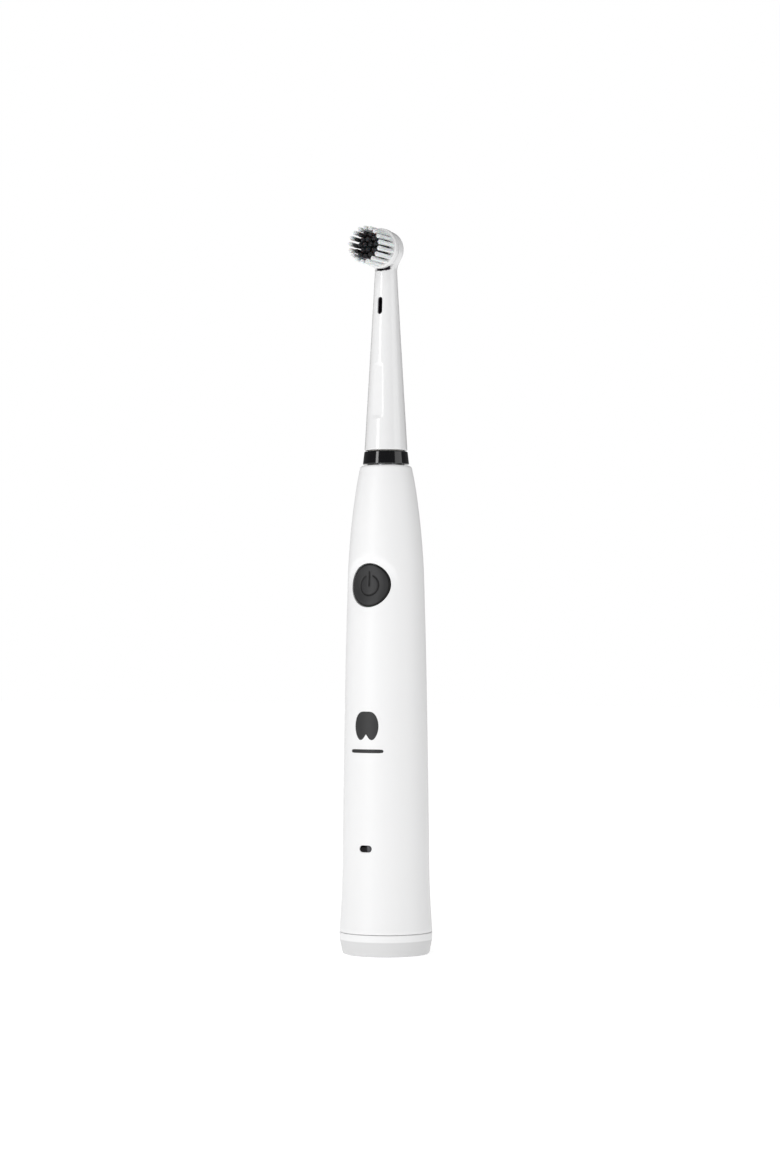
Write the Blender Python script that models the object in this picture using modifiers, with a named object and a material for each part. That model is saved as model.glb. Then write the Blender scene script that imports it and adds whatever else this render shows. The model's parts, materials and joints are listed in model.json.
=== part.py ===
"""Rechargeable electric toothbrush with an oscillating round brush head.

The handle stands on its base cap, with its axis on +Z and its front, where the
button and the bristles are, towards -Y. Units are metres. The origin is at the
middle of the base. A motor turns a pinion, the pinion turns a spur gear, and the
gear's crank pin swings a slotted lever on the drive shaft. The shaft swings the
rod in the brush head, and the rod's bent tip rocks the bristle disc.
"""

import math

import bmesh
import bpy
import numpy as np
from mathutils import Matrix

MM = 0.001

# Facets of a round piece
ROUND = 20
CASING = 32
LID = 28

# Fits
FIT = 0.3 * MM                      # gap between pieces that touch or run in each other
CUT = 1.0 * MM                      # how far a cutter runs past what it cuts

# Handle shell
HANDLE_HEIGHT = 162.0 * MM
HANDLE_RADIUS = 15.45 * MM          # at the widest band, just above the seam
SHELL_WALL = 2.0 * MM
SHOULDER_ROUND = 1.2 * MM
# Radii as shares of the widest: at heights above the foot, then at depths below the top
LOWER_OUTLINE = ((7.3 * MM, 1.0), (12.3 * MM, 0.977), (22.4 * MM, 0.943), (42.3 * MM, 0.924))
UPPER_OUTLINE = ((79.7 * MM, 0.885), (49.7 * MM, 0.843), (29.6 * MM, 0.798), (14.7 * MM, 0.707),
                 (4.7 * MM, 0.612), (0.0, 0.55))

# Base cap and charging recess
SEAM_HEIGHT = 7.2 * MM
TAPER_HEIGHT = 5.0 * MM
FOOT_INSET = 1.05 * MM              # how much narrower the foot is than the widest band
FOOT_ROUND = 0.5 * MM
RECESS_RADIUS = 4.6 * MM
RECESS_DEPTH = 12.0 * MM
WELL_WALL = 1.2 * MM
CAP_FLOOR = 2.2 * MM
SPIGOT_WALL = 2.2 * MM
SEAL_GROOVE = 1.0 * MM
SEAL_GROOVE_HALF = 1.0 * MM         # half of the groove's height
LIP_DROP = 0.08 * MM                # how far the cap's wall leans in above its taper
SEAL_HEIGHT = 10.0 * MM

# Charging coil
BOBBIN_WALL = 0.8 * MM

# Chassis
DECK = 1.5 * MM
DECK_GAP = 0.5 * MM
SPINE_WIDTH = 7.0 * MM
SPINE_THICKNESS = 1.2 * MM

# Battery and its contacts
BATTERY_RADIUS = 7.25 * MM
BATTERY_LENGTH = 49.0 * MM
BATTERY_Y = 0.6 * MM
NUB_RADIUS = 2.6 * MM
NUB_HEIGHT = 1.2 * MM
SPRING_HEIGHT = 4.2 * MM
SPRING_RADIUS = 3.2 * MM
SPRING_WIRE = 0.35 * MM
SPRING_TURNS = 3
CONTACT_MARGIN = 1.0 * MM           # of the contact plate round the cell's nub
CONTACT_THICKNESS = 0.5 * MM

# Circuit board and what sits on it
BOARD_FRONT = 8.5 * MM              # distance of its front face from the axis
BOARD_THICKNESS = 0.8 * MM
BOARD_WIDTH = 9.0 * MM
BOARD_FOOT = 27.0 * MM
SWITCH_SIZE = 6.0 * MM
SWITCH_DEPTH = 0.9 * MM
ACTUATOR_RADIUS = 1.6 * MM
ACTUATOR_HEIGHT = 0.4 * MM
BOARD_CLEAR = 2.0 * MM              # top of the board below the gear deck
CHIP_SIZE = 5.0 * MM
CHIP_DEPTH = 1.0 * MM
CAPACITOR_RADIUS = 2.0 * MM
CAPACITOR_DEPTH = 2.4 * MM
CAPACITOR_DROP = 12.0 * MM          # below the chip

# Power button
BUTTON_DROP = 40.0 * MM             # below the top of the handle
BUTTON_RADIUS = 6.95 * MM
BUTTON_SINK = 0.25 * MM
BUTTON_THICKNESS = 1.3 * MM
BUTTON_TRAVEL = 0.5 * MM

# Indicator
WINDOW_HEIGHT = 35.4 * MM
WINDOW_WIDTH = 4.4 * MM
WINDOW_TALL = 2.1 * MM
WINDOW_SINK = 0.1 * MM
LIGHT_GAP = 0.5 * MM
LAMP_WIDTH = 3.2 * MM
LAMP_TALL = 1.6 * MM
LAMP_DEPTH = 0.9 * MM

# Motor
GEARBOX_DROP = 32.0 * MM            # underside of the gear deck below the top of the handle
MOTOR_Y = 0.3 * MM
MOTOR_RADIUS = 9.9 * MM
MOTOR_FLATS = 15.0 * MM
MOTOR_LENGTH = 25.0 * MM
MOTOR_WALL = 0.8 * MM
MOTOR_CAP = 3.2 * MM
MOTOR_SHAFT = 0.75 * MM             # radius
SHAFT_PROUD = 0.6 * MM              # of the motor's shaft above the pinion
ROTOR_RADIUS = 4.6 * MM
MAGNET_WALL = 1.6 * MM
MAGNET_RISE = 8.0 * MM              # above the foot of the can
MAGNET_CLEAR = 2.0 * MM             # below the can's closed end
COMMUTATOR_WALL = 1.1 * MM

# Gears
GEAR_MODULE = 0.4 * MM
PINION_TEETH = 8
GEAR_TEETH = 20
TOOTH_SHARE = 0.3                   # of the pitch that a tooth fills, with backlash
ADDENDUM = 0.75                     # shares of the module
DEDENDUM = 1.3
GEAR_THICKNESS = 2.6 * MM
PINION_PLAY = 0.05 * MM             # the pinion is pressed on its shaft
SHAFT_BOSS = 1.2 * MM               # how much wider the deck's hole is than the shaft's bore
CRANK_THROW = 2.0 * MM
CRANK_RADIUS = 0.6 * MM
CRANK_RISE = 1.3 * MM               # above the gear's face

# Drive shaft, its lever and bearings
SHAFT_RADIUS = 1.25 * MM
LEVER_THICKNESS = 2.0 * MM
HUB_WALL = 0.8 * MM
HUB_HEIGHT = 4.0 * MM
BUSH_WALL = 1.4 * MM
BUSH_FLANGE = 1.0 * MM
UPPER_BUSH = 7.0 * MM               # length of the bush in the nose
POST_RADIUS = 1.7 * MM
POST_SPAN = 13.2 * MM
POST_Y = 2.6 * MM
SCREW_RADIUS = 0.8 * MM
SCREW_HEAD = 1.5 * MM
SCREW_HEAD_TALL = 1.1 * MM
SCREW_LENGTH = 6.0 * MM

# Nose of the handle, which the brush head slides over
NOSE_RADIUS = 4.6 * MM
NOSE_HEIGHT = 14.0 * MM             # above the top of the handle
NOSE_WALL = 0.9 * MM
NOSE_FLANGE = 1.6 * MM
SHAFT_ABOVE_NOSE = 10.0 * MM
SHAFT_SEAL = 1.6 * MM

# Brush head
RING_GAP = 0.4 * MM
RING_HEIGHT = 4.4 * MM
RING_RADIUS = 7.72 * MM
RING_TAPER = 0.5 * MM
RING_EDGE = 0.25 * MM
STEM_LENGTH = 61.6 * MM
STEM_FOOT = 7.15 * MM               # radius
STEM_NECK = 3.62 * MM               # radius
STEM_CURVE = 1.05                   # exponent of the taper
STEM_WALL = 1.4 * MM
SLOT_WIDTH = 1.75 * MM
SLOT_TALL = 5.8 * MM
SLOT_RISE = 48.2 * MM               # above the foot of the stem
INSERT_WALL = 0.9 * MM
INSERT_LENGTH = 14.0 * MM

# Head cup and bristle disc, on an axis along Y
HEAD_RISE = 5.6 * MM                # of the disc's axis above the top of the stem's taper
CUP_RADIUS = 6.3 * MM
CUP_BACK = 4.0 * MM
CUP_FRONT = 2.4 * MM
CUP_WALL = 1.1 * MM
AXLE_RADIUS = 0.8 * MM
AXLE_BOSS = 1.7 * MM
DISC_RADIUS = 6.7 * MM
DISC_FRONT = 5.6 * MM
DISC_THICKNESS = 2.2 * MM
DISC_RIM = 0.25 * MM
DISH_WALL = 0.3 * MM
BORE_DEPTH = 1.6 * MM               # end of the axle below the disc's face
DISC_BOSS = 0.7 * MM                # wall of the disc's boss round its axle
TUFT_TIP = 15.3 * MM                # distance of the bristle ends from the stem's axis

# Drive rod
ROD_RADIUS = 1.1 * MM
SOCKET_WALL = 0.8 * MM
TIP_OFFSET = 2.5 * MM
TIP_RADIUS = 0.5 * MM
FORK_DROP = 2.6 * MM                # rod tip's contact below the disc's axis
FORK_PRONG = 0.6 * MM
FORK_HALF = 0.7 * MM                # half of a prong's height
TIP_BRIDGE = 1.2 * MM               # depth of the bridge to the rod's tip
SOCKET_TAPER = 2.0 * MM

# Tufts
WHITE_TUFTS = 17
WHITE_PITCH = 5.55 * MM             # radius of the outer row
WHITE_RADIUS = 0.75 * MM
DARK_ROWS = ((1, 0.0), (6, 1.75 * MM), (12, 3.4 * MM))
DARK_RADIUS = 0.72 * MM
TUFT_BASE = 0.5 * MM

COLLECTION = "electric_toothbrush"
WHITE = ("gloss_white", (0.86, 0.86, 0.87), 0.22, 0.0)
GREY_WHITE = ("base_white", (0.74, 0.73, 0.76), 0.35, 0.0)
BLACK = ("gloss_black", (0.012, 0.012, 0.013), 0.12, 0.0)
CHARCOAL = ("charcoal_rubber", (0.05, 0.05, 0.052), 0.5, 0.0)
RUBBER = ("black_rubber", (0.02, 0.02, 0.02), 0.7, 0.0)
COPPER = ("copper_wire", (0.72, 0.34, 0.18), 0.35, 1.0)
STEEL = ("steel", (0.55, 0.56, 0.58), 0.3, 1.0)
BRASS = ("brass", (0.78, 0.6, 0.28), 0.35, 1.0)
NATURAL = ("natural_acetal", (0.82, 0.8, 0.74), 0.45, 0.0)
BOARD = ("green_board", (0.05, 0.24, 0.11), 0.45, 0.0)
CELL = ("cell_wrap", (0.1, 0.32, 0.2), 0.4, 0.0)
FRAME = ("grey_frame", (0.35, 0.36, 0.38), 0.5, 0.0)
MAGNET = ("magnet", (0.16, 0.16, 0.17), 0.6, 0.3)
PLUM = ("dark_plum", (0.045, 0.03, 0.05), 0.5, 0.0)
BRISTLE_WHITE = ("white_bristle", (0.88, 0.88, 0.88), 0.45, 0.0)
BRISTLE_DARK = ("dark_bristle", (0.05, 0.052, 0.056), 0.5, 0.0)


# ---------------------------------------------------------------- helpers

def clear_scene():
    """Remove what the scene holds."""
    for item in list(bpy.data.objects):
        bpy.data.objects.remove(item, do_unlink=True)


def collection(name):
    """Return the collection of this name, made at need."""
    found = bpy.data.collections.get(name)
    if found is None:
        found = bpy.data.collections.new(name)
        bpy.context.scene.collection.children.link(found)
    return found


def finish(look):
    """Return the material for a look: name, colour, roughness and metallic value."""
    name, colour, roughness, metallic = look
    found = bpy.data.materials.get(name)
    if found is None:
        found = bpy.data.materials.new(name)
        found.use_nodes = True
        shader = found.node_tree.nodes["Principled BSDF"]
        shader.inputs["Base Color"].default_value = (*colour, 1.0)
        shader.inputs["Roughness"].default_value = roughness
        shader.inputs["Metallic"].default_value = metallic
    return found


def place(name, mesh, look=None):
    """Put a mesh in the scene as a part, or as a cutter where it has no look."""
    item = bpy.data.objects.new(name, mesh)
    if look is None:
        collection("cutters").objects.link(item)
        item.hide_render = True
        item.display_type = "WIRE"
    else:
        collection(COLLECTION).objects.link(item)
        mesh.materials.append(finish(look))
    return item


def combine(item, other, operation):
    """Join, cut or intersect item with a helper solid."""
    step = item.modifiers.new(operation.lower(), "BOOLEAN")
    step.operation = operation
    step.solver = "EXACT"
    step.object = other
    return item


def turned(name, profile, look=None, steps=ROUND, closed=True):
    """Turn a profile of (radius, height) points about Z.

    An open profile starts and ends on the axis. The points may run either way
    round: they are put in the order that faces the surface outwards.
    """
    points = list(profile)
    area = sum(a[0] * b[1] - b[0] * a[1] for a, b in zip(points, points[1:] + points[:1]))
    if area > 0:
        points.reverse()
    edges = [(i, i + 1) for i in range(len(points) - 1)]
    if closed:
        edges.append((len(points) - 1, 0))
    mesh = bpy.data.meshes.new(name)
    mesh.from_pydata([(r, 0.0, z) for r, z in points], edges, [])
    item = place(name, mesh, look)
    screw = item.modifiers.new("turn", "SCREW")
    screw.steps = steps
    screw.render_steps = steps
    screw.use_merge_vertices = True
    screw.merge_threshold = 0.000001
    return item


def tube(name, inner, outer, low, high, look=None, steps=ROUND):
    """Turn a plain ring with square edges."""
    profile = ((inner, high), (outer, high), (outer, low), (inner, low))
    return turned(name, profile, look, steps)


def rod(name, radius, low, high, look=None, sides=ROUND):
    """Make a cylinder along Z."""
    mesh = bpy.data.meshes.new(name)
    shape = bmesh.new()
    middle = Matrix.Translation((0.0, 0.0, (low + high) / 2))
    bmesh.ops.create_cone(shape, cap_ends=True, segments=sides, radius1=radius, radius2=radius,
                          depth=high - low, matrix=middle)
    shape.to_mesh(mesh)
    shape.free()
    return place(name, mesh, look)


def block(name, low, high, look=None):
    """Make a box between two corners."""
    mesh = bpy.data.meshes.new(name)
    shape = bmesh.new()
    size = [b - a for a, b in zip(low, high)]
    middle = [(a + b) / 2 for a, b in zip(low, high)]
    matrix = Matrix.Translation(middle) @ Matrix.Diagonal((*size, 1.0))
    bmesh.ops.create_cube(shape, size=1.0, matrix=matrix)
    shape.to_mesh(mesh)
    shape.free()
    return place(name, mesh, look)


def meshed(name, curve_object, look=None):
    """Replace a curve object by a part or a cutter with the same, welded mesh."""
    graph = bpy.context.evaluated_depsgraph_get()
    mesh = bpy.data.meshes.new_from_object(curve_object.evaluated_get(graph))
    shape = bmesh.new()
    shape.from_mesh(mesh)
    bmesh.ops.remove_doubles(shape, verts=shape.verts, dist=0.000001)
    bmesh.ops.recalc_face_normals(shape, faces=shape.faces)
    shape.to_mesh(mesh)
    shape.free()
    mesh.materials.clear()
    item = place(name, mesh, look)
    item.matrix_world = curve_object.matrix_world.copy()
    bpy.data.objects.remove(curve_object, do_unlink=True)
    return item


def plate(name, outlines, low, high, look=None):
    """Extrude flat outlines of (x, y) points from low to high; inner outlines are holes."""
    curve = bpy.data.curves.new(name, "CURVE")
    curve.dimensions = "2D"
    curve.fill_mode = "BOTH"
    curve.extrude = (high - low) / 2
    for outline in outlines:
        spline = curve.splines.new("POLY")
        spline.points.add(len(outline) - 1)
        for point, (x, y) in zip(spline.points, outline):
            point.co = (x, y, 0.0, 1.0)
        spline.use_cyclic_u = True
    flat = bpy.data.objects.new(name + "_outline", curve)
    bpy.context.scene.collection.objects.link(flat)
    flat.location.z = (low + high) / 2
    bpy.context.view_layer.update()
    return meshed(name, flat, look)


def circle(radius, sides=ROUND, x=0.0, y=0.0):
    """Return the points of a circle."""
    turn = [2 * math.pi * i / sides for i in range(sides)]
    return [(x + radius * math.cos(a), y + radius * math.sin(a)) for a in turn]


def stadium(width, height, sides=8):
    """Return a slot's outline, with round ends, centred on the origin and long along x."""
    radius = height / 2
    reach = width / 2 - radius
    right = [-math.pi / 2 + math.pi * i / sides for i in range(sides + 1)]
    half = [(reach + radius * math.cos(a), radius * math.sin(a)) for a in right]
    return half + [(-x, -y) for x, y in half]


def gear_outline(teeth, first_angle):
    """Return a spur gear's outline, with one tooth centred on the first angle.

    Each tooth is a trapezium. Its width is a share of the pitch, so that the pair
    runs with backlash, and its flanks narrow to half of that at the tip.
    """
    pitch_radius = GEAR_MODULE * teeth / 2
    root = pitch_radius - DEDENDUM * GEAR_MODULE
    tip = pitch_radius + ADDENDUM * GEAR_MODULE
    half = math.pi * GEAR_MODULE * TOOTH_SHARE / 2
    points = []
    for number in range(teeth):
        angle = first_angle + 2 * math.pi * number / teeth
        for radius, side in ((root, -1.4 * half), (tip, -0.5 * half), (tip, 0.5 * half), (root, 1.4 * half)):
            turn = angle + side / radius
            points.append((radius * math.cos(turn), radius * math.sin(turn)))
    return points


def smooth_curve(stations, at):
    """Interpolate (place, value) stations with a smooth cubic curve."""
    places = np.array([s[0] for s in stations])
    values = np.array([s[1] for s in stations])
    slopes = np.gradient(values, places)
    i = int(np.clip(np.searchsorted(places, at) - 1, 0, len(places) - 2))
    span = places[i + 1] - places[i]
    t = min(max((at - places[i]) / span, 0.0), 1.0)
    start = (1 + 2 * t) * (1 - t) ** 2 * values[i] + t * (1 - t) ** 2 * span * slopes[i]
    end = t ** 2 * (3 - 2 * t) * values[i + 1] + t ** 2 * (t - 1) * span * slopes[i + 1]
    return float(start + end)


def outer_radius(height):
    """Return the handle shell's outer radius at a height."""
    stations = list(LOWER_OUTLINE) + [(HANDLE_HEIGHT - depth, share) for depth, share in UPPER_OUTLINE]
    return HANDLE_RADIUS * smooth_curve(stations, height)


def inner_radius(height):
    """Return the handle shell's inner radius at a height."""
    return outer_radius(height) - SHELL_WALL


def face_front(item, height, upright=False):
    """Turn a piece made about Z so that its axis points to the front at a height.

    An upright piece is also turned a quarter about that axis, so its length stands.
    """
    lift = Matrix.Translation((0.0, 0.0, height))
    lean = Matrix.Rotation(math.pi / 2, 4, "X")
    quarter = Matrix.Rotation(math.pi / 2 if upright else 0.0, 4, "Z")
    item.matrix_world = lift @ lean @ quarter @ item.matrix_world
    return item


def casing_room(low, high):
    """Make a solid that fills the shell's inside from low to high, less half the decks' gap."""
    heights = np.linspace(high, low, 12)
    profile = [(0.0, high)] + [(inner_radius(z) - DECK_GAP / 2, z) for z in heights] + [(0.0, low)]
    return turned("casing_room", profile, steps=CASING, closed=False)


# ---------------------------------------------------------------- heights

CAP_TOP = RECESS_DEPTH + WELL_WALL
LOW_DECK = CAP_TOP + FIT
SPRING_FOOT = LOW_DECK + DECK + FIT
BATTERY_FOOT = SPRING_FOOT + SPRING_HEIGHT + FIT
BATTERY_TOP = BATTERY_FOOT + BATTERY_LENGTH + NUB_HEIGHT
CONTACT_FOOT = BATTERY_TOP + FIT
MID_DECK = CONTACT_FOOT + CONTACT_THICKNESS + FIT
GEAR_DECK = HANDLE_HEIGHT - GEARBOX_DROP
MOTOR_TOP = GEAR_DECK - FIT
MOTOR_FOOT = MOTOR_TOP - MOTOR_LENGTH
MOTOR_DECK = MOTOR_FOOT - MOTOR_CAP - 2 * FIT - DECK
GEAR_FOOT = GEAR_DECK + DECK + FIT
GEAR_TOP = GEAR_FOOT + GEAR_THICKNESS
CRANK_TOP = GEAR_TOP + CRANK_RISE
LEVER_FOOT = CRANK_TOP + FIT
HUB_TOP = LEVER_FOOT + HUB_HEIGHT
BRACKET_FOOT = HUB_TOP + FIT
BRACKET_TOP = BRACKET_FOOT + DECK
BUTTON_HEIGHT = HANDLE_HEIGHT - BUTTON_DROP
BOARD_TOP = GEAR_DECK - BOARD_CLEAR
NOSE_TOP = HANDLE_HEIGHT + NOSE_HEIGHT
SHAFT_TOP = NOSE_TOP + SHAFT_ABOVE_NOSE
RING_FOOT = HANDLE_HEIGHT + RING_GAP
STEM_BASE = RING_FOOT + RING_HEIGHT + FIT
STEM_TOP = STEM_BASE + STEM_LENGTH
HEAD_HEIGHT = STEM_TOP + HEAD_RISE

GEAR_Y = MOTOR_Y - GEAR_MODULE * (PINION_TEETH + GEAR_TEETH) / 2
BORE = SHAFT_RADIUS + FIT
BUSH_RADIUS = BORE + BUSH_WALL
BOARD_BACK = BOARD_FRONT - BOARD_THICKNESS
SPINE_FRONT = BATTERY_Y + BATTERY_RADIUS + FIT
SPIGOT_RADIUS = inner_radius(CAP_TOP) - FIT
INSERT_BORE = NOSE_RADIUS + FIT
INSERT_RADIUS = INSERT_BORE + INSERT_WALL
DISC_BACK = DISC_FRONT - DISC_THICKNESS


def stem_radius(height):
    """Return the brush stem's outer radius: a taper that flattens a little as it rises."""
    share = min(max((height - STEM_BASE) / STEM_LENGTH, 0.0), 1.0)
    return STEM_NECK + (STEM_FOOT - STEM_NECK) * (1 - share) ** STEM_CURVE


# ---------------------------------------------------------------- handle casing

def make_handle_shell():
    """Make the casing: a turned shell with a closed top, a button hole and a window."""
    shoulder = outer_radius(HANDLE_HEIGHT - SHOULDER_ROUND)
    opening = NOSE_RADIUS + FIT
    foot = SEAM_HEIGHT + FIT / 2
    profile = [(opening, HANDLE_HEIGHT)]
    for step in range(5):
        angle = math.pi / 2 * (1 - step / 4)
        profile.append((shoulder - SHOULDER_ROUND * (1 - math.cos(angle)),
                        HANDLE_HEIGHT - SHOULDER_ROUND * (1 - math.sin(angle))))
    heights = np.linspace(HANDLE_HEIGHT - 4 * SHOULDER_ROUND, foot, 13)
    profile += [(outer_radius(z), z) for z in heights]
    ceiling = HANDLE_HEIGHT - SHELL_WALL
    profile += [(inner_radius(z), z) for z in np.linspace(foot, ceiling - FIT, 10)]
    profile.append((opening, ceiling - FIT))
    shell = turned("handle_shell", profile, WHITE, steps=CASING)
    hole = rod("button_hole", BUTTON_RADIUS + FIT, 0.0, HANDLE_RADIUS + CUT, sides=LID)
    window = plate("window_hole", [stadium(WINDOW_WIDTH + 2 * FIT, WINDOW_TALL + 2 * FIT)],
                   BOARD_FRONT, HANDLE_RADIUS + CUT)
    combine(shell, face_front(hole, BUTTON_HEIGHT), "DIFFERENCE")
    combine(shell, face_front(window, WINDOW_HEIGHT), "DIFFERENCE")


def make_base_cap():
    """Make the cap that the handle stands on, with the charging recess in its middle."""
    foot = HANDLE_RADIUS - FOOT_INSET
    seam = SEAM_HEIGHT - FIT / 2
    profile = [(0.0, CAP_TOP), (RECESS_RADIUS + WELL_WALL, CAP_TOP), (RECESS_RADIUS + WELL_WALL, CAP_FLOOR),
               (SPIGOT_RADIUS - SPIGOT_WALL, CAP_FLOOR), (SPIGOT_RADIUS - SPIGOT_WALL, CAP_TOP),
               (SPIGOT_RADIUS, CAP_TOP), (SPIGOT_RADIUS, SEAL_HEIGHT + SEAL_GROOVE_HALF),
               (SPIGOT_RADIUS - SEAL_GROOVE, SEAL_HEIGHT + SEAL_GROOVE_HALF),
               (SPIGOT_RADIUS - SEAL_GROOVE, SEAL_HEIGHT - SEAL_GROOVE_HALF),
               (SPIGOT_RADIUS, SEAL_HEIGHT - SEAL_GROOVE_HALF), (SPIGOT_RADIUS, seam),
               (HANDLE_RADIUS, seam), (HANDLE_RADIUS - LIP_DROP, TAPER_HEIGHT)]
    for step in range(4):
        angle = math.pi / 2 * step / 3
        profile.append((foot - FOOT_ROUND * (1 - math.cos(angle)), FOOT_ROUND * (1 - math.sin(angle))))
    profile += [(RECESS_RADIUS, 0.0), (RECESS_RADIUS, RECESS_DEPTH), (0.0, RECESS_DEPTH)]
    turned("base_cap", profile, GREY_WHITE, steps=CASING, closed=False)


def make_base_seal():
    """Make the ring that seals the cap's spigot in the shell."""
    inner = SPIGOT_RADIUS - SEAL_GROOVE + FIT
    outer = inner_radius(SEAL_HEIGHT) - FIT
    thickness = (outer - inner) / 2
    middle = (outer + inner) / 2
    profile = [(middle + r, SEAL_HEIGHT + z) for r, z in circle(thickness, sides=6)]
    turned("base_seal", profile, RUBBER)


def make_indicator():
    """Make the window in the shell and the lamp behind it."""
    front = outer_radius(WINDOW_HEIGHT) - WINDOW_SINK
    lamp_front = BOARD_FRONT + FIT + LAMP_DEPTH
    window = plate("indicator_window", [stadium(WINDOW_WIDTH, WINDOW_TALL)], lamp_front + LIGHT_GAP, front,
                   BLACK)
    face_front(window, WINDOW_HEIGHT)
    block("indicator_led", (-LAMP_WIDTH / 2, -lamp_front, WINDOW_HEIGHT - LAMP_TALL / 2),
          (LAMP_WIDTH / 2, -BOARD_FRONT - FIT, WINDOW_HEIGHT + LAMP_TALL / 2), NATURAL)


def make_power_button():
    """Make the button: a round plate that follows the shell, with a short plunger behind."""
    reach = BUTTON_RADIUS + CUT
    heights = np.linspace(BUTTON_HEIGHT + reach, BUTTON_HEIGHT - reach, 7)
    profile = [(outer_radius(z) - BUTTON_SINK, z) for z in heights]
    profile += [(outer_radius(z) - BUTTON_SINK - BUTTON_THICKNESS, z) for z in heights[::-1]]
    skin = turned("button_skin", profile, steps=CASING)
    front = outer_radius(BUTTON_HEIGHT) - BUTTON_SINK
    contact = BOARD_FRONT + FIT + SWITCH_DEPTH + ACTUATOR_HEIGHT + FIT + BUTTON_TRAVEL
    button = rod("power_button", BUTTON_RADIUS, 0.0, HANDLE_RADIUS + CUT, CHARCOAL, sides=LID)
    face_front(button, BUTTON_HEIGHT)
    combine(button, skin, "INTERSECT")
    plunger = rod("button_plunger", ACTUATOR_RADIUS, contact, front - BUTTON_THICKNESS / 2)
    combine(button, face_front(plunger, BUTTON_HEIGHT), "UNION")


# ---------------------------------------------------------------- base and battery

def make_charging_coil():
    """Make the bobbin round the recess well, and the coil wound on it."""
    bore = RECESS_RADIUS + WELL_WALL + FIT
    hub = bore + BOBBIN_WALL
    flange = SPIGOT_RADIUS - SPIGOT_WALL - FIT
    foot = CAP_FLOOR + FIT
    head = CAP_TOP - FIT
    profile = [(bore, head), (flange, head), (flange, head - BOBBIN_WALL), (hub, head - BOBBIN_WALL),
               (hub, foot + BOBBIN_WALL), (flange, foot + BOBBIN_WALL), (flange, foot), (bore, foot)]
    turned("coil_bobbin", profile, NATURAL)
    tube("charging_coil", hub + FIT, flange - FIT, foot + BOBBIN_WALL + FIT, head - BOBBIN_WALL - FIT, COPPER)


def deck_outline(height, front_cut):
    """Return a deck's outline: a circle, or one with a flat front behind the board."""
    radius = inner_radius(height + DECK) - DECK_GAP
    if not front_cut:
        return circle(radius, sides=LID)
    corner = math.asin((BOARD_BACK - FIT) / radius)
    turns = np.linspace(-corner, math.pi + corner, LID)
    return [(radius * math.cos(a), radius * math.sin(a)) for a in turns]


def make_chassis():
    """Make the inner frame: four decks on a spine, and two posts for the bearing bracket."""
    spine_back = SPINE_FRONT + SPINE_THICKNESS
    chassis = block("chassis", (-SPINE_WIDTH / 2, SPINE_FRONT, LOW_DECK + DECK / 2),
                    (SPINE_WIDTH / 2, spine_back, GEAR_DECK + DECK / 2), FRAME)
    for name, height, front_cut in (("low", LOW_DECK, False), ("mid", MID_DECK, True),
                                    ("motor", MOTOR_DECK, True), ("gear", GEAR_DECK, False)):
        deck = plate(name + "_deck", [deck_outline(height, front_cut)], height, height + DECK)
        combine(chassis, deck, "UNION")
    for side in (-1, 1):
        post = rod("post", POST_RADIUS, GEAR_DECK + DECK / 2, BRACKET_FOOT - FIT)
        post.location.x = side * POST_SPAN / 2
        post.location.y = POST_Y
        combine(chassis, post, "UNION")
    for side in (-1, 1):
        thread = rod("thread", SCREW_RADIUS + FIT, BRACKET_TOP - SCREW_LENGTH - FIT, BRACKET_TOP,
                     sides=16)
        thread.location.x = side * POST_SPAN / 2
        thread.location.y = POST_Y
        combine(chassis, thread, "DIFFERENCE")
    combine(chassis, casing_room(LOW_DECK - CUT, BRACKET_FOOT + CUT), "INTERSECT")
    boss = rod("boss_hole", MOTOR_SHAFT + FIT + SHAFT_BOSS, GEAR_DECK - CUT, GEAR_DECK + DECK + CUT)
    boss.location.y = MOTOR_Y
    combine(chassis, boss, "DIFFERENCE")
    pin_hole = rod("axle_hole", MOTOR_SHAFT + FIT, GEAR_DECK - CUT, GEAR_DECK + DECK + CUT)
    pin_hole.location.y = GEAR_Y
    combine(chassis, pin_hole, "DIFFERENCE")


def make_battery():
    """Make the cell, the spring below it and the contact plate above it."""
    body_top = BATTERY_FOOT + BATTERY_LENGTH
    profile = [(0.0, BATTERY_TOP), (NUB_RADIUS, BATTERY_TOP), (NUB_RADIUS, body_top),
               (BATTERY_RADIUS, body_top), (BATTERY_RADIUS, BATTERY_FOOT), (0.0, BATTERY_FOOT)]
    cell = turned("battery_cell", profile, CELL, closed=False)
    cell.location.y = BATTERY_Y
    plate_half = NUB_RADIUS + CONTACT_MARGIN
    block("contact_plate", (-plate_half, BATTERY_Y - plate_half, CONTACT_FOOT),
          (plate_half, BATTERY_Y + plate_half, CONTACT_FOOT + CONTACT_THICKNESS), BRASS)
    per_turn = 8
    low = SPRING_FOOT + SPRING_WIRE
    rise = SPRING_HEIGHT - 2 * SPRING_WIRE
    curve = bpy.data.curves.new("contact_spring", "CURVE")
    curve.dimensions = "3D"
    curve.bevel_depth = SPRING_WIRE
    curve.bevel_resolution = 2
    curve.use_fill_caps = True
    spline = curve.splines.new("POLY")
    spline.points.add(SPRING_TURNS * per_turn)
    for number, point in enumerate(spline.points):
        angle = 2 * math.pi * number / per_turn
        height = low + rise * number / (SPRING_TURNS * per_turn)
        point.co = (SPRING_RADIUS * math.cos(angle), BATTERY_Y + SPRING_RADIUS * math.sin(angle),
                    height, 1.0)
    coil = bpy.data.objects.new("spring_path", curve)
    bpy.context.scene.collection.objects.link(coil)
    meshed("contact_spring", coil, STEEL)


# ---------------------------------------------------------------- electronics

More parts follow.
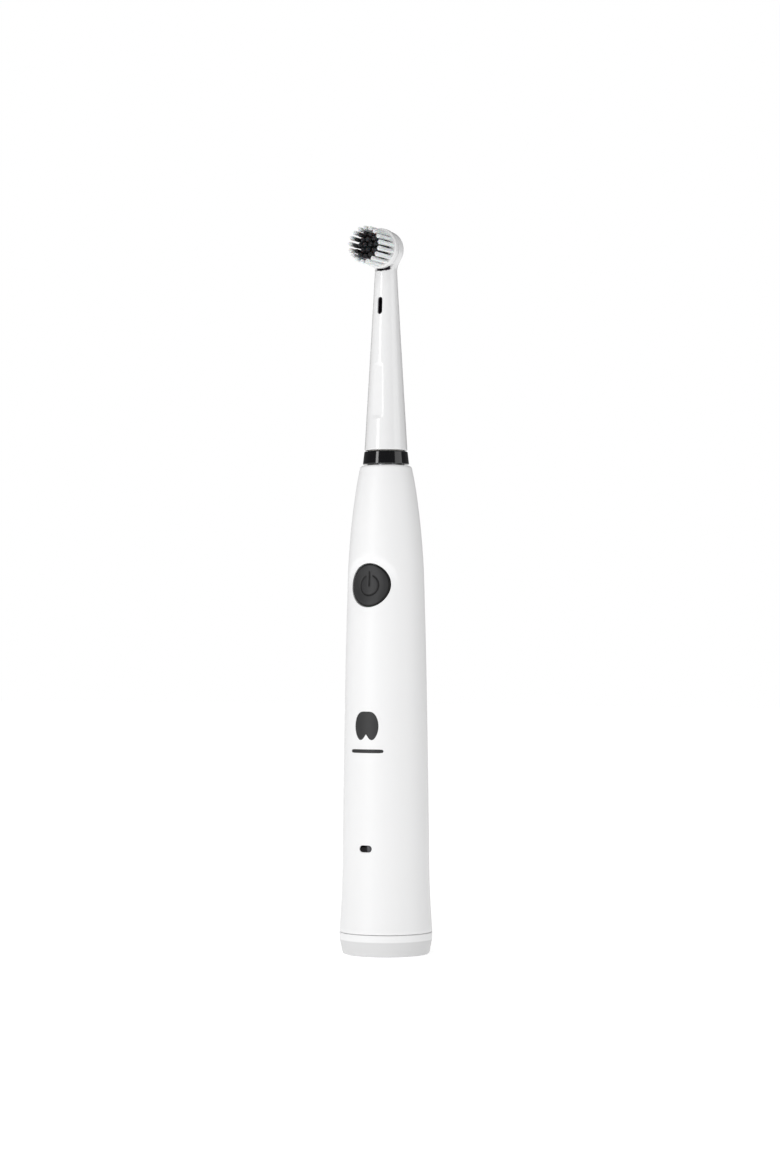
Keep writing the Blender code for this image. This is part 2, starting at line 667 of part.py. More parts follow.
def make_electronics():
    """Make the board, the switch behind the button, a chip and a capacitor."""
    half = BOARD_WIDTH / 2
    block("circuit_board", (-half, -BOARD_FRONT, BOARD_FOOT), (half, -BOARD_BACK, BOARD_TOP), BOARD)
    mount = BOARD_FRONT + FIT
    reach = SWITCH_SIZE / 2
    switch = block("tact_switch", (-reach, -mount - SWITCH_DEPTH, BUTTON_HEIGHT - reach),
                   (reach, -mount, BUTTON_HEIGHT + reach), BLACK)
    actuator = rod("actuator", ACTUATOR_RADIUS, mount + SWITCH_DEPTH / 2,
                   mount + SWITCH_DEPTH + ACTUATOR_HEIGHT)
    combine(switch, face_front(actuator, BUTTON_HEIGHT), "UNION")
    chip_height = (WINDOW_HEIGHT + BUTTON_HEIGHT) / 2
    side = CHIP_SIZE / 2
    block("control_chip", (-side, -mount - CHIP_DEPTH, chip_height - side),
          (side, -mount, chip_height + side), BLACK)
    can = rod("smoothing_capacitor", CAPACITOR_RADIUS, mount, mount + CAPACITOR_DEPTH, STEEL)
    face_front(can, chip_height - CAPACITOR_DROP)


# ---------------------------------------------------------------- motor

def make_motor():
    """Make the motor: can, end cap, ring magnet, and the rotor on its shaft."""
    bore = ROTOR_RADIUS + FIT + MAGNET_WALL + FIT
    neck = MOTOR_SHAFT + FIT
    can = rod("motor_can", MOTOR_RADIUS, MOTOR_FOOT, MOTOR_TOP, STEEL, sides=LID)
    flats = block("motor_flats", (-MOTOR_RADIUS - CUT, -MOTOR_FLATS / 2, MOTOR_FOOT - CUT),
                  (MOTOR_RADIUS + CUT, MOTOR_FLATS / 2, MOTOR_TOP + CUT))
    hollow_profile = [(0.0, MOTOR_TOP + CUT), (neck, MOTOR_TOP + CUT), (neck, MOTOR_TOP - MOTOR_WALL),
                      (bore, MOTOR_TOP - MOTOR_WALL), (bore, MOTOR_FOOT - CUT), (0.0, MOTOR_FOOT - CUT)]
    hollow = turned("motor_hollow", hollow_profile, closed=False)
    combine(can, flats, "INTERSECT")
    combine(can, hollow, "DIFFERENCE")
    can.location.y = MOTOR_Y
    flats.location.y = MOTOR_Y
    hollow.location.y = MOTOR_Y
    cap_top = MOTOR_FOOT - FIT
    end = rod("motor_end_cap", MOTOR_RADIUS - FIT, cap_top - MOTOR_CAP, cap_top, NATURAL, sides=LID)
    end_flats = block("end_flats", (-MOTOR_RADIUS, -MOTOR_FLATS / 2 + FIT, cap_top - MOTOR_CAP - CUT),
                      (MOTOR_RADIUS, MOTOR_FLATS / 2 - FIT, cap_top + CUT))
    end_bore = rod("end_bore", neck, cap_top - MOTOR_CAP + CUT, cap_top + CUT)
    combine(end, end_flats, "INTERSECT")
    combine(end, end_bore, "DIFFERENCE")
    for item in (end, end_flats, end_bore):
        item.location.y = MOTOR_Y
    core_foot = MOTOR_FOOT + MAGNET_RISE
    core_top = MOTOR_TOP - MOTOR_WALL - MAGNET_CLEAR
    gap = ROTOR_RADIUS + FIT
    magnet = tube("ring_magnet", gap, gap + MAGNET_WALL, core_foot, core_top, MAGNET)
    core = tube("rotor_core", neck, ROTOR_RADIUS, core_foot + CUT, core_top - CUT, STEEL)
    ring = tube("commutator", neck, neck + COMMUTATOR_WALL, MOTOR_FOOT + CUT, core_foot, COPPER)
    shaft = rod("motor_shaft", MOTOR_SHAFT, cap_top - MOTOR_CAP + CUT + FIT, GEAR_TOP + SHAFT_PROUD, STEEL)
    for item in (magnet, core, ring, shaft):
        item.location.y = MOTOR_Y


# ---------------------------------------------------------------- gears

def make_gears():
    """Make the pinion, and the gear with its crank pin, on their parallel axes."""
    pinion = plate("motor_pinion", [gear_outline(PINION_TEETH, -math.pi / 2 + math.pi / PINION_TEETH)],
                   GEAR_FOOT, GEAR_TOP, BRASS)
    pinion.location.y = MOTOR_Y
    pinion_bore = rod("pinion_bore", MOTOR_SHAFT + PINION_PLAY, GEAR_FOOT - CUT, GEAR_TOP + CUT)
    pinion_bore.location.y = MOTOR_Y
    combine(pinion, pinion_bore, "DIFFERENCE")
    bore = MOTOR_SHAFT + FIT
    gear = plate("drive_gear", [gear_outline(GEAR_TEETH, math.pi / 2), circle(bore)], GEAR_FOOT, GEAR_TOP,
                 NATURAL)
    gear.location.y = GEAR_Y
    crank = rod("crank_pin", CRANK_RADIUS, GEAR_FOOT + FIT, CRANK_TOP, sides=16)
    crank.location.y = GEAR_Y - CRANK_THROW
    combine(gear, crank, "UNION")
    axle = rod("gear_axle", MOTOR_SHAFT, GEAR_DECK, CRANK_TOP, STEEL)
    axle.location.y = GEAR_Y


def make_drive_shaft():
    """Make the shaft through the nose, and the slotted lever at its foot."""
    rod("drive_shaft", SHAFT_RADIUS, LEVER_FOOT, SHAFT_TOP, STEEL)
    hub = BORE + HUB_WALL
    lever = tube("drive_lever", BORE, hub, LEVER_FOOT, HUB_TOP, NATURAL)
    reach = CRANK_RADIUS + FIT
    slot_near = GEAR_Y + CRANK_THROW + reach
    slot_far = GEAR_Y - CRANK_THROW - reach
    width = 2 * (reach + HUB_WALL)
    length = -slot_far + HUB_WALL - BORE - HUB_WALL / 2
    arm = plate("lever_arm", [stadium(length * 2, width)], LEVER_FOOT, LEVER_FOOT + LEVER_THICKNESS)
    arm.matrix_world = Matrix.Rotation(-math.pi / 2, 4, "Z") @ arm.matrix_world
    trim = block("arm_trim", (-width, -BORE - HUB_WALL / 2, LEVER_FOOT - CUT),
                 (width, 2 * HANDLE_RADIUS, LEVER_FOOT + LEVER_THICKNESS + CUT))
    combine(arm, trim, "DIFFERENCE")
    arm.location.y -= BORE + HUB_WALL / 2
    slot = plate("lever_slot", [stadium(slot_near - slot_far, 2 * reach)], LEVER_FOOT - CUT,
                 LEVER_FOOT + LEVER_THICKNESS + CUT)
    slot.matrix_world = (Matrix.Translation((0.0, (slot_near + slot_far) / 2, 0.0))
                         @ Matrix.Rotation(math.pi / 2, 4, "Z") @ slot.matrix_world)
    combine(lever, arm, "UNION")
    combine(lever, slot, "DIFFERENCE")


def make_bearings():
    """Make the bracket, its screws, the two bushes, the nose and the shaft's seal."""
    radius = inner_radius(BRACKET_TOP) - DECK_GAP
    holes = [circle(SCREW_RADIUS + FIT, 16, side * POST_SPAN / 2, POST_Y) for side in (-1, 1)]
    plate("bearing_bracket", [circle(radius, LID), circle(BUSH_RADIUS + FIT)] + holes, BRACKET_FOOT,
          BRACKET_TOP, FRAME)
    for name, side in (("bracket_screw_left", -1), ("bracket_screw_right", 1)):
        head = BRACKET_TOP + FIT
        crown = head + SCREW_HEAD_TALL
        point = BRACKET_TOP - SCREW_LENGTH
        profile = [(0.0, crown), (SCREW_HEAD, crown), (SCREW_HEAD, head), (SCREW_RADIUS, head),
                   (SCREW_RADIUS, point), (0.0, point)]
        screw = turned(name, profile, STEEL, closed=False)
        screw.location.x = side * POST_SPAN / 2
        screw.location.y = POST_Y
    flange = BUSH_RADIUS + BUSH_FLANGE
    head = BRACKET_TOP + FIT
    crown = head + BUSH_FLANGE
    profile = [(BORE, crown), (flange, crown), (flange, head), (BUSH_RADIUS, head),
               (BUSH_RADIUS, BRACKET_FOOT), (BORE, BRACKET_FOOT)]
    turned("lower_bush", profile, BRASS)
    ceiling = HANDLE_HEIGHT - SHELL_WALL - 2 * FIT
    bore = NOSE_RADIUS - NOSE_WALL
    flange = inner_radius(ceiling) - 2 * FIT
    profile = [(bore, NOSE_TOP), (NOSE_RADIUS, NOSE_TOP), (NOSE_RADIUS, ceiling), (flange, ceiling),
               (flange, ceiling - NOSE_FLANGE), (bore, ceiling - NOSE_FLANGE)]
    turned("nose_sleeve", profile, STEEL)
    tube("upper_bush", BORE, bore - FIT, NOSE_TOP - UPPER_BUSH, NOSE_TOP - FIT, BRASS)
    tube("shaft_seal", BORE, NOSE_RADIUS - FIT, NOSE_TOP + FIT, NOSE_TOP + FIT + SHAFT_SEAL, RUBBER)


# ---------------------------------------------------------------- brush head

def make_ring_and_insert():
    """Make the coloured ring at the head's foot, and the sleeve that grips the nose."""
    bore = INSERT_RADIUS + FIT
    top = RING_FOOT + RING_HEIGHT
    crown = RING_RADIUS - RING_TAPER
    profile = [(bore, top), (crown - RING_EDGE, top), (crown, top - RING_EDGE),
               (RING_RADIUS, RING_FOOT + RING_EDGE), (RING_RADIUS - RING_EDGE, RING_FOOT), (bore, RING_FOOT)]
    turned("id_ring", profile, BLACK, steps=LID)
    tube("stem_insert", INSERT_BORE, INSERT_RADIUS, RING_FOOT, RING_FOOT + INSERT_LENGTH, NATURAL)


def make_brush_stem():
    """Make the hollow stem with the cup at its top that holds the bristle disc."""
    socket_top = RING_FOOT + INSERT_LENGTH + FIT
    root = STEM_TOP + 0.5 * HEAD_RISE
    outside = [(0.0, root), (0.75 * STEM_NECK, root)]
    outside += [(stem_radius(z), z) for z in np.linspace(STEM_TOP, STEM_BASE, 8)]
    stem = turned("brush_stem", outside + [(0.0, STEM_BASE)], WHITE, steps=LID, closed=False)
    passage = HEAD_HEIGHT - AXLE_BOSS - CUT
    inside = [(0.0, passage), (stem_radius(STEM_TOP) - STEM_WALL, passage)]
    inside += [(stem_radius(z) - STEM_WALL, z) for z in np.linspace(STEM_TOP, socket_top + 2.0 * MM, 5)]
    grip = INSERT_RADIUS + FIT
    inside += [(grip, socket_top), (grip, STEM_BASE - CUT), (0.0, STEM_BASE - CUT)]
    bore = turned("stem_bore", inside, closed=False)
    back = [(0.0, -CUP_BACK)]
    for step in range(1, 6):
        angle = math.pi / 2 * step / 5
        back.append((CUP_RADIUS * math.sin(angle), -CUP_BACK * math.cos(angle)))
    cup = turned("cup_outside", back + [(CUP_RADIUS, CUP_FRONT), (0.0, CUP_FRONT)], steps=LID, closed=False)
    inner = CUP_RADIUS - CUP_WALL
    floor = -CUP_BACK + CUP_WALL
    pin = AXLE_RADIUS + FIT
    hollow = turned("cup_inside", [(0.0, floor + FIT), (pin, floor + FIT), (pin, 0.0), (AXLE_BOSS, 0.0),
                                   (AXLE_BOSS, floor), (0.7 * inner, floor), (inner, -0.3 * CUP_BACK),
                                   (inner, CUP_FRONT + CUT), (0.0, CUP_FRONT + CUT)],
                    closed=False)
    clearance = rod("disc_clearance", DISC_RADIUS + 2 * FIT, DISC_BACK - FIT, STEM_FOOT + CUT, sides=LID)
    combine(stem, face_front(cup, HEAD_HEIGHT), "UNION")
    combine(stem, face_front(clearance, HEAD_HEIGHT), "DIFFERENCE")
    combine(stem, face_front(hollow, HEAD_HEIGHT), "DIFFERENCE")
    combine(stem, bore, "DIFFERENCE")
    slot = plate("stem_slot", [stadium(SLOT_TALL, SLOT_WIDTH)], ROD_RADIUS, STEM_FOOT + CUT)
    combine(stem, face_front(slot, STEM_BASE + SLOT_RISE, upright=True), "DIFFERENCE")


def make_drive_rod():
    """Make the rod in the stem, with its socket over the shaft and its bent tip."""
    foot = NOSE_TOP + 2 * FIT + SHAFT_SEAL
    top = HEAD_HEIGHT - FORK_DROP - TIP_RADIUS
    socket = BORE + SOCKET_WALL
    roof = SHAFT_TOP + FIT
    crown = roof + SOCKET_WALL
    profile = [(0.0, top), (ROD_RADIUS, top), (ROD_RADIUS, crown + SOCKET_TAPER), (socket, crown),
               (socket, foot), (BORE, foot), (BORE, roof), (0.0, roof)]
    item = turned("drive_rod", profile, PLUM, closed=False)
    bridge = block("tip_bridge", (-TIP_RADIUS, -TIP_OFFSET - TIP_RADIUS, top - TIP_BRIDGE),
                   (TIP_RADIUS, 0.0, top - 0.1 * TIP_BRIDGE))
    tip = rod("tip_pin", TIP_RADIUS, top - TIP_BRIDGE / 2, HEAD_HEIGHT - FORK_DROP + TIP_RADIUS, sides=16)
    tip.location.y = -TIP_OFFSET
    combine(item, bridge, "UNION")
    combine(item, tip, "UNION")


def make_disc():
    """Make the axle in the cup, and the disc that rocks on it and carries the tufts."""
    floor = -CUP_BACK + CUP_WALL + 2 * FIT
    axle_end = DISC_FRONT - BORE_DEPTH
    face_front(rod("disc_axle", AXLE_RADIUS, floor, axle_end, STEEL), HEAD_HEIGHT)
    dish = DISC_RADIUS - DISH_WALL
    dish_floor = DISC_FRONT - 2 * TUFT_BASE
    bore = AXLE_RADIUS + FIT
    boss = bore + DISC_BOSS
    profile = [(0.0, dish_floor), (dish, dish_floor), (dish, DISC_FRONT),
               (DISC_RADIUS - DISC_RIM / 4, DISC_FRONT), (DISC_RADIUS, DISC_FRONT - DISC_RIM),
               (DISC_RADIUS, DISC_BACK), (boss, DISC_BACK), (boss, FIT), (bore, FIT),
               (bore, axle_end + FIT), (0.0, axle_end + FIT)]
    disc = face_front(turned("bristle_disc", profile, WHITE, steps=LID, closed=False), HEAD_HEIGHT)
    inner = TIP_RADIUS + FIT
    for side in (-1, 1):
        edges = sorted((side * inner, side * (inner + FORK_PRONG)))
        contact = HEAD_HEIGHT - FORK_DROP
        prong = block("fork_prong", (edges[0], -DISC_BACK - TUFT_BASE, contact - FORK_HALF),
                      (edges[1], -TIP_OFFSET + TIP_RADIUS, contact + FORK_HALF))
        combine(disc, prong, "UNION")


def tuft(name, radius, x, y, low, high, sides):
    """Make one tuft's cutter: a column with a rounded end."""
    cap = radius * 0.4
    profile = [(0.0, high), (radius * 0.7, high), (radius, high - cap), (radius, low), (0.0, low)]
    item = turned(name, profile, steps=sides, closed=False)
    item.matrix_world = (Matrix.Translation((0.0, 0.0, HEAD_HEIGHT)) @ Matrix.Rotation(math.pi / 2, 4, "X")
                         @ Matrix.Translation((x, y, 0.0)))
    return item


def make_tufts():
    """Make the outer row of white tufts and the field of dark ones, each on its base."""
    low = DISC_FRONT - 2 * TUFT_BASE + FIT
    high = low + TUFT_BASE
    outer = min(WHITE_PITCH + WHITE_RADIUS, DISC_RADIUS - DISH_WALL - FIT)
    inner = WHITE_PITCH - WHITE_RADIUS
    white = face_front(tube("white_tufts", inner, outer, low, high, BRISTLE_WHITE, steps=LID), HEAD_HEIGHT)
    for number in range(WHITE_TUFTS):
        angle = 2 * math.pi * number / WHITE_TUFTS + math.pi / 2
        post = tuft("white_tuft", WHITE_RADIUS, WHITE_PITCH * math.cos(angle), WHITE_PITCH * math.sin(angle),
                    (low + high) / 2, TUFT_TIP, 6)
        combine(white, post, "UNION")
    dark = face_front(rod("dark_tufts", inner - FIT, low, high, BRISTLE_DARK), HEAD_HEIGHT)
    for count, radius in DARK_ROWS:
        for number in range(count):
            angle = 2 * math.pi * number / count
            post = tuft("dark_tuft", DARK_RADIUS, radius * math.cos(angle), radius * math.sin(angle),
                        (low + high) / 2, TUFT_TIP, 6)
            combine(dark, post, "UNION")


def build():
    """Build every piece."""
    clear_scene()
    make_handle_shell()
    make_base_cap()
    make_base_seal()
    make_indicator()
    make_power_button()
    make_charging_coil()
    make_chassis()
    make_battery()
    make_electronics()
    make_motor()
    make_gears()
    make_drive_shaft()
    make_bearings()
    make_ring_and_insert()
    make_brush_stem()
    make_drive_rod()
    make_disc()
    make_tufts()


build()
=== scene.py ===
"""Looks of a rechargeable electric toothbrush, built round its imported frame.

Lengths are in metres. The handle's axis is +Z, and its front, with the button
and the bristles, faces -Y. Angles round the handle are measured from the front.
"""

import json
import logging
import math
from dataclasses import dataclass
from enum import Enum
from typing import Sequence

import bmesh
import bpy
import numpy as np
from mathutils import Matrix, Vector


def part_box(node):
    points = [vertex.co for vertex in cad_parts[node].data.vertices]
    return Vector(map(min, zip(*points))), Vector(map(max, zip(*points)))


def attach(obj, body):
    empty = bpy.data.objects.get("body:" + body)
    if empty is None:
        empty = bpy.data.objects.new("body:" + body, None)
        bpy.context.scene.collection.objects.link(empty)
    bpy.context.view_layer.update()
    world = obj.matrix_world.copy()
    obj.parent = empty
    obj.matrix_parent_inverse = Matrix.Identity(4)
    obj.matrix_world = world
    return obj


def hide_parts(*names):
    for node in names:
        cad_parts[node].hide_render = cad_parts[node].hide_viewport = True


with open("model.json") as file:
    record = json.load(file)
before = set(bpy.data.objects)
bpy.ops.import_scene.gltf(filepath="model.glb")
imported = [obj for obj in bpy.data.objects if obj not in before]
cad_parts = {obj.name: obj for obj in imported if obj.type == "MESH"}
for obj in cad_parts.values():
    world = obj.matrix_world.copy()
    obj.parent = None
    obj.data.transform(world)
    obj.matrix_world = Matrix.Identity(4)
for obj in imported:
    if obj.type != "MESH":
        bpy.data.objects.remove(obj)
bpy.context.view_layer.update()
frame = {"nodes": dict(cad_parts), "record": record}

MM = 0.001
SLIVER = 0.002 * MM
FIT = 0.3 * MM
LOG = logging.getLogger("toothbrush")

Colour = tuple[float, float, float]
Triple = tuple[float, float, float]


# ---------------------------------------------------------------- shader maths

class Signal:
    """A node's output that Python expressions can be written on."""

    def __init__(self, painter: "Painter", socket: bpy.types.NodeSocket) -> None:
        """Keep the painter that adds nodes and the socket that carries the value."""
        self.painter = painter
        self.socket = socket

    def _maths(self, operation: str, first: "Signal | float", second: "Signal | float") -> "Signal":
        """Add one Math node.

        Args:
            operation: the Math node's operation.
            first: its first value.
            second: its second value.

        Returns:
            The node's result.
        """
        return self.painter.node("ShaderNodeMath", {"operation": operation}, {0: first, 1: second})

    def __add__(self, other: "Signal | float") -> "Signal":
        """Return self + other."""
        return self._maths("ADD", self, other)

    def __radd__(self, other: float) -> "Signal":
        """Return other + self."""
        return self._maths("ADD", other, self)

    def __sub__(self, other: "Signal | float") -> "Signal":
        """Return self - other."""
        return self._maths("SUBTRACT", self, other)

    def __rsub__(self, other: float) -> "Signal":
        """Return other - self."""
        return self._maths("SUBTRACT", other, self)

    def __mul__(self, other: "Signal | float") -> "Signal":
        """Return self * other."""
        return self._maths("MULTIPLY", self, other)

    def __rmul__(self, other: float) -> "Signal":
        """Return other * self."""
        return self._maths("MULTIPLY", other, self)

    def above(self, edge: float, soft: float) -> "Signal":
        """Return a mask that rises from 0 to 1 across an edge.

        Args:
            edge: where the mask is half way up.
            soft: half the width of the rise.

        Returns:
            The mask.
        """
        settings = {"interpolation_type": "SMOOTHSTEP"}
        return self.painter.node("ShaderNodeMapRange", settings, {0: self, 1: edge - soft, 2: edge + soft})

    def wave(self) -> "Signal":
        """Return the sine of the value."""
        return self.painter.node("ShaderNodeMath", {"operation": "SINE"}, {0: self})


class Painter:
    """Builds one material's nodes."""

    def __init__(self, name: str) -> None:
        """Start a material with an empty Principled shader."""
        self.material = bpy.data.materials.new(name)
        self.material.use_nodes = True
        self.tree = self.material.node_tree
        self.shader = self.tree.nodes["Principled BSDF"]

    def node(self, kind: str, settings: dict, sockets: dict, output: int | str = 0) -> Signal:
        """Add a node.

        Args:
            kind: the node's type.
            settings: its properties, set first.
            sockets: values or signals by input index or name.
            output: the output that is returned.

        Returns:
            That output.
        """
        made = self.tree.nodes.new(kind)
        for key, value in settings.items():
            setattr(made, key, value)
        for key, value in sockets.items():
            self.put(made.inputs[key], value)
        return Signal(self, made.outputs[output])

    def put(self, socket: bpy.types.NodeSocket, value: "Signal | float | tuple") -> None:
        """Link a signal to a socket, or set a plain value on it."""
        if isinstance(value, Signal):
            self.tree.links.new(value.socket, socket)
        else:
            socket.default_value = value

    def place(self, scale: Triple = (1.0, 1.0, 1.0)) -> Signal:
        """Return the Object coordinates, scaled."""
        coords = self.node("ShaderNodeTexCoord", {}, {}, "Object")
        return self.node("ShaderNodeMapping", {}, {"Vector": coords, "Scale": scale})

    def axis(self, name: str) -> Signal:
        """Return one Object coordinate, X, Y or Z."""
        coords = self.node("ShaderNodeTexCoord", {}, {}, "Object")
        return self.node("ShaderNodeSeparateXYZ", {}, {0: coords}, name)

    def noise(self, scale: float, detail: float = 3.0, stretch: Triple = (1, 1, 1)) -> Signal:
        """Return a noise field from 0 to 1."""
        sockets = {"Vector": self.place(stretch), "Scale": scale, "Detail": detail}
        return self.node("ShaderNodeTexNoise", {}, sockets)

    def mix(self, factor: "Signal | float", low: "Signal | Colour", high: "Signal | Colour") -> Signal:
        """Return a blend of two colours."""
        ends = [value if isinstance(value, Signal) else (*value, 1.0) for value in (low, high)]
        return self.node("ShaderNodeMix", {"data_type": "RGBA"}, {0: factor, 6: ends[0], 7: ends[1]}, 2)

    def bump(self, height: Signal, strength: float, distance: float) -> None:
        """Feed a height through a Bump node to the shader's normal."""
        sockets = {"Height": height, "Strength": strength, "Distance": distance}
        normal = self.node("ShaderNodeBump", {}, sockets)
        self.put(self.shader.inputs["Normal"], normal)

    def set(self, name: str, value: "Signal | float | tuple") -> None:
        """Put a value or a signal on one of the shader's sockets."""
        self.put(self.shader.inputs[name], value)


# ---------------------------------------------------------------- finishes

def scaled(colour: Colour, share: float) -> Colour:
    """Return a colour with each channel times a share."""
    return tuple(channel * share for channel in colour)


@dataclass(frozen=True)
class Finish:
    """A named surface. Each kind of finish paints its own nodes."""

    name: str

    def paint(self, painter: Painter) -> None:
        """Add the finish's nodes."""
        raise NotImplementedError

    def material(self) -> bpy.types.Material:
        """Return the finish's material."""
        painter = Painter(self.name)
        self.paint(painter)
        return painter.material


@dataclass(frozen=True)
class Plastic(Finish):
    """Moulded plastic or rubber: a colour with faint flow marks and a fine grain, and painted shade below
    the skirt's height if one is given.
    """

    colour: Colour
    roughness: float
    mottle: float = 0.03
    grain: float = 2500.0
    depth: float = 0.05
    coat: float = 0.0
    skirt: float | None = None
    skirt_painted_shade: float = 0.77

    def paint(self, painter: Painter) -> None:
        """Paint the flow marks and the grain, with painted shade below the skirt's height, where the
        surface faces down.
        """
        flow = painter.noise(60.0, 2.0, (1.0, 1.0, 0.3))
        fine = painter.noise(self.grain, 2.0)
        dark = scaled(self.colour, 1.0 - self.mottle)
        skin = painter.mix(flow, dark, self.colour)
        # Below the skirt the colour is darkened as painted shade, for a taper that faces down.
        if self.skirt is not None:
            shaded = scaled(self.colour, self.skirt_painted_shade)
            skin = painter.mix(painter.axis("Z").above(self.skirt, 0.25 * MM), shaded, skin)
        painter.set("Base Color", skin)
        painter.set("Roughness", (flow * 0.2 + fine * 0.1 + 0.85) * self.roughness)
        painter.set("Coat Weight", self.coat)
        painter.set("Coat Roughness", 0.04)
        painter.bump(fine, self.depth, 0.00005)


@dataclass(frozen=True)
class Metal(Finish):
    """Turned or drawn metal, with fine marks along or round the piece."""

    colour: Colour
    roughness: float
    marks: Triple = (0.05, 0.05, 1.0)

    def paint(self, painter: Painter) -> None:
        """Paint a faint stain and the fine marks."""
        lines = painter.noise(9000.0, 2.0, self.marks)
        stain = painter.noise(120.0, 3.0)
        dull = scaled(self.colour, 0.82)
        painter.set("Base Color", painter.mix(stain, dull, self.colour))
        painter.set("Metallic", 1.0)
        painter.set("Roughness", self.roughness + lines * 0.12 + stain * 0.08)
        painter.bump(lines, 0.08, 0.00002)


@dataclass(frozen=True)
class Filament(Finish):
    """Nylon bristle: each filament has its own shade, and the tips are painted a little paler, a painted
    highlight on their lit ends.
    """

    low: Colour
    high: Colour
    roughness: float
    tip: float
    painted_highlight_length: float = 0.9 * MM

    def paint(self, painter: Painter) -> None:
        """Paint the filaments, with a painted highlight near their tips' distance from the axis."""
        shade = painter.node("ShaderNodeAttribute", {"attribute_name": "shade"}, {}, "Fac")
        streak = painter.noise(3000.0, 2.0, (1.0, 0.1, 1.0))
        # end: the mask of the painted highlight on the tips.
        end = 1.0 - painter.axis("Y").above(self.painted_highlight_length - self.tip, 0.6 * MM)
        body = painter.mix(shade * 0.8 + streak * 0.2, self.low, self.high)
        painter.set("Base Color", painter.mix(end * 0.8, body, self.high))
        painter.set("Roughness", self.roughness + streak * 0.15)
        painter.set("Subsurface Weight", 0.15)
        painter.set("Subsurface Scale", 0.0006)
        painter.bump(streak, 0.05, 0.00002)


@dataclass(frozen=True)
class SoftTouch(Finish):
    """Soft-touch rubber: a fine matt grain, with painted shade in the engraved sign's grooves and round
    the rim, where the gap is.
    """

    colour: Colour
    stroke: Colour
    roughness: float
    centre: float
    radius: float
    rim: float = 0.5 * MM

    def paint(self, painter: Painter) -> None:
        """Paint the matt face, and the painted shade in the sign's grooves and round the rim."""
        sign = painter.node("ShaderNodeAttribute", {"attribute_name": "sign"}, {}, "Fac")
        cloud = painter.noise(250.0, 3.0)
        grain = painter.noise(6000.0, 2.0)
        worn = scaled(self.colour, 1.25)
        face = painter.mix(cloud, self.colour, worn)
        away = painter.node("ShaderNodeVectorMath", {"operation": "DISTANCE"},
                            {0: painter.place((1.0, 0.0, 1.0)), 1: (0.0, 0.0, self.centre)}, "Value")
        # rim: a painted shade line round the edge, for the gap between button and shell.
        rim = away.above(self.radius - self.rim, 0.15 * MM)
        # The stroke colour is painted shade, in the sign's grooves and on the rim.
        painter.set("Base Color", painter.mix(rim, painter.mix(sign, face, self.stroke), self.stroke))
        painter.set("Roughness", self.roughness + cloud * 0.1 + sign * 0.2)
        painter.set("Specular IOR Level", 0.35)
        painter.bump(grain, 0.15, 0.00002)


@dataclass(frozen=True)
class StemPlastic(Finish):
    """Glossy stem plastic, with painted shade on its wall where it faces the hollow inside."""

    colour: Colour
    inside: Colour
    roughness: float
    foot: float
    foot_radius: float
    slope: float
    crown: float
    depth: float = 0.6 * MM

    def paint(self, painter: Painter) -> None:
        """Paint the skin, and painted shade on the wall inside.

        A point is inside where its distance from the axis, plus the taper's slope
        times its height, is less than at a depth below the surface at the foot.
        """
        across = painter.node("ShaderNodeVectorMath", {"operation": "LENGTH"},
                              {0: painter.place((1.0, 1.0, 0.0))}, "Value")
        height = painter.axis("Z")
        limit = self.foot_radius - self.depth + self.slope * self.foot
        outer = (across + height * self.slope).above(limit, 0.1 * MM)
        below = 1.0 - height.above(self.crown, 0.2 * MM)
        flow = painter.noise(70.0, 2.0, (1.0, 1.0, 0.25))
        fine = painter.noise(2500.0, 2.0)
        dark = scaled(self.colour, 0.975)
        skin = painter.mix(flow, dark, self.colour)
        # The inside colour is painted shade on the wall of the hollow, below the crown.
        painter.set("Base Color", painter.mix((1.0 - outer) * below, skin, self.inside))
        painter.set("Roughness", self.roughness + flow * 0.03 + fine * 0.02)
        painter.set("Coat Weight", 0.3)
        painter.set("Coat Roughness", 0.05)
        painter.bump(fine, 0.02, 0.00005)


@dataclass(frozen=True)
class SmokedLens(Finish):
    """The indicator's window: smoked gloss, with a paler segment at one end."""

    dark: Colour
    pale: Colour
    split: float

    def paint(self, painter: Painter) -> None:
        """Paint the dark gloss and its paler segment."""
        lit = painter.axis("X").above(self.split, 0.15 * MM)
        cloud = painter.noise(900.0, 2.0)
        painter.set("Base Color", painter.mix(lit, self.dark, self.pale))
        painter.set("Roughness", 0.12 + cloud * 0.06)
        painter.set("Specular IOR Level", 0.15)
        painter.bump(cloud, 0.02, 0.00002)


@dataclass(frozen=True)
class Winding(Finish):
    """Enamelled wire, wound in fine turns one above the other."""

    colour: Colour
    pitch: float

    def paint(self, painter: Painter) -> None:
        """Paint the turns, with painted shade in the grooves between them."""
        turns = (painter.axis("Z") * (2 * math.pi / self.pitch)).wave() * 0.5 + 0.5
        # The dark colour is painted shade where the turns meet.
        dark = scaled(self.colour, 0.35)
        painter.set("Base Color", painter.mix(turns, dark, self.colour))
        painter.set("Metallic", 0.9)
        painter.set("Roughness", 0.45 - turns * 0.15)
        painter.bump(turns, 0.6, self.pitch / 4)


@dataclass(frozen=True)
class Board(Finish):
    """Circuit board: a green mask in two shades."""

    def paint(self, painter: Painter) -> None:
        """Paint the mask's cells."""
        sockets = {"Vector": painter.place((1.0, 0.0, 1.0)), "Scale": 260.0, "Mortar Size": 0.08}
        cells = painter.node("ShaderNodeTexBrick", {}, sockets, "Fac")
        painter.set("Base Color", painter.mix(cells, (0.03, 0.17, 0.08), (0.08, 0.32, 0.14)))
        painter.set("Roughness", 0.4 - cells * 0.1)
        painter.bump(cells, 0.3, 0.00003)


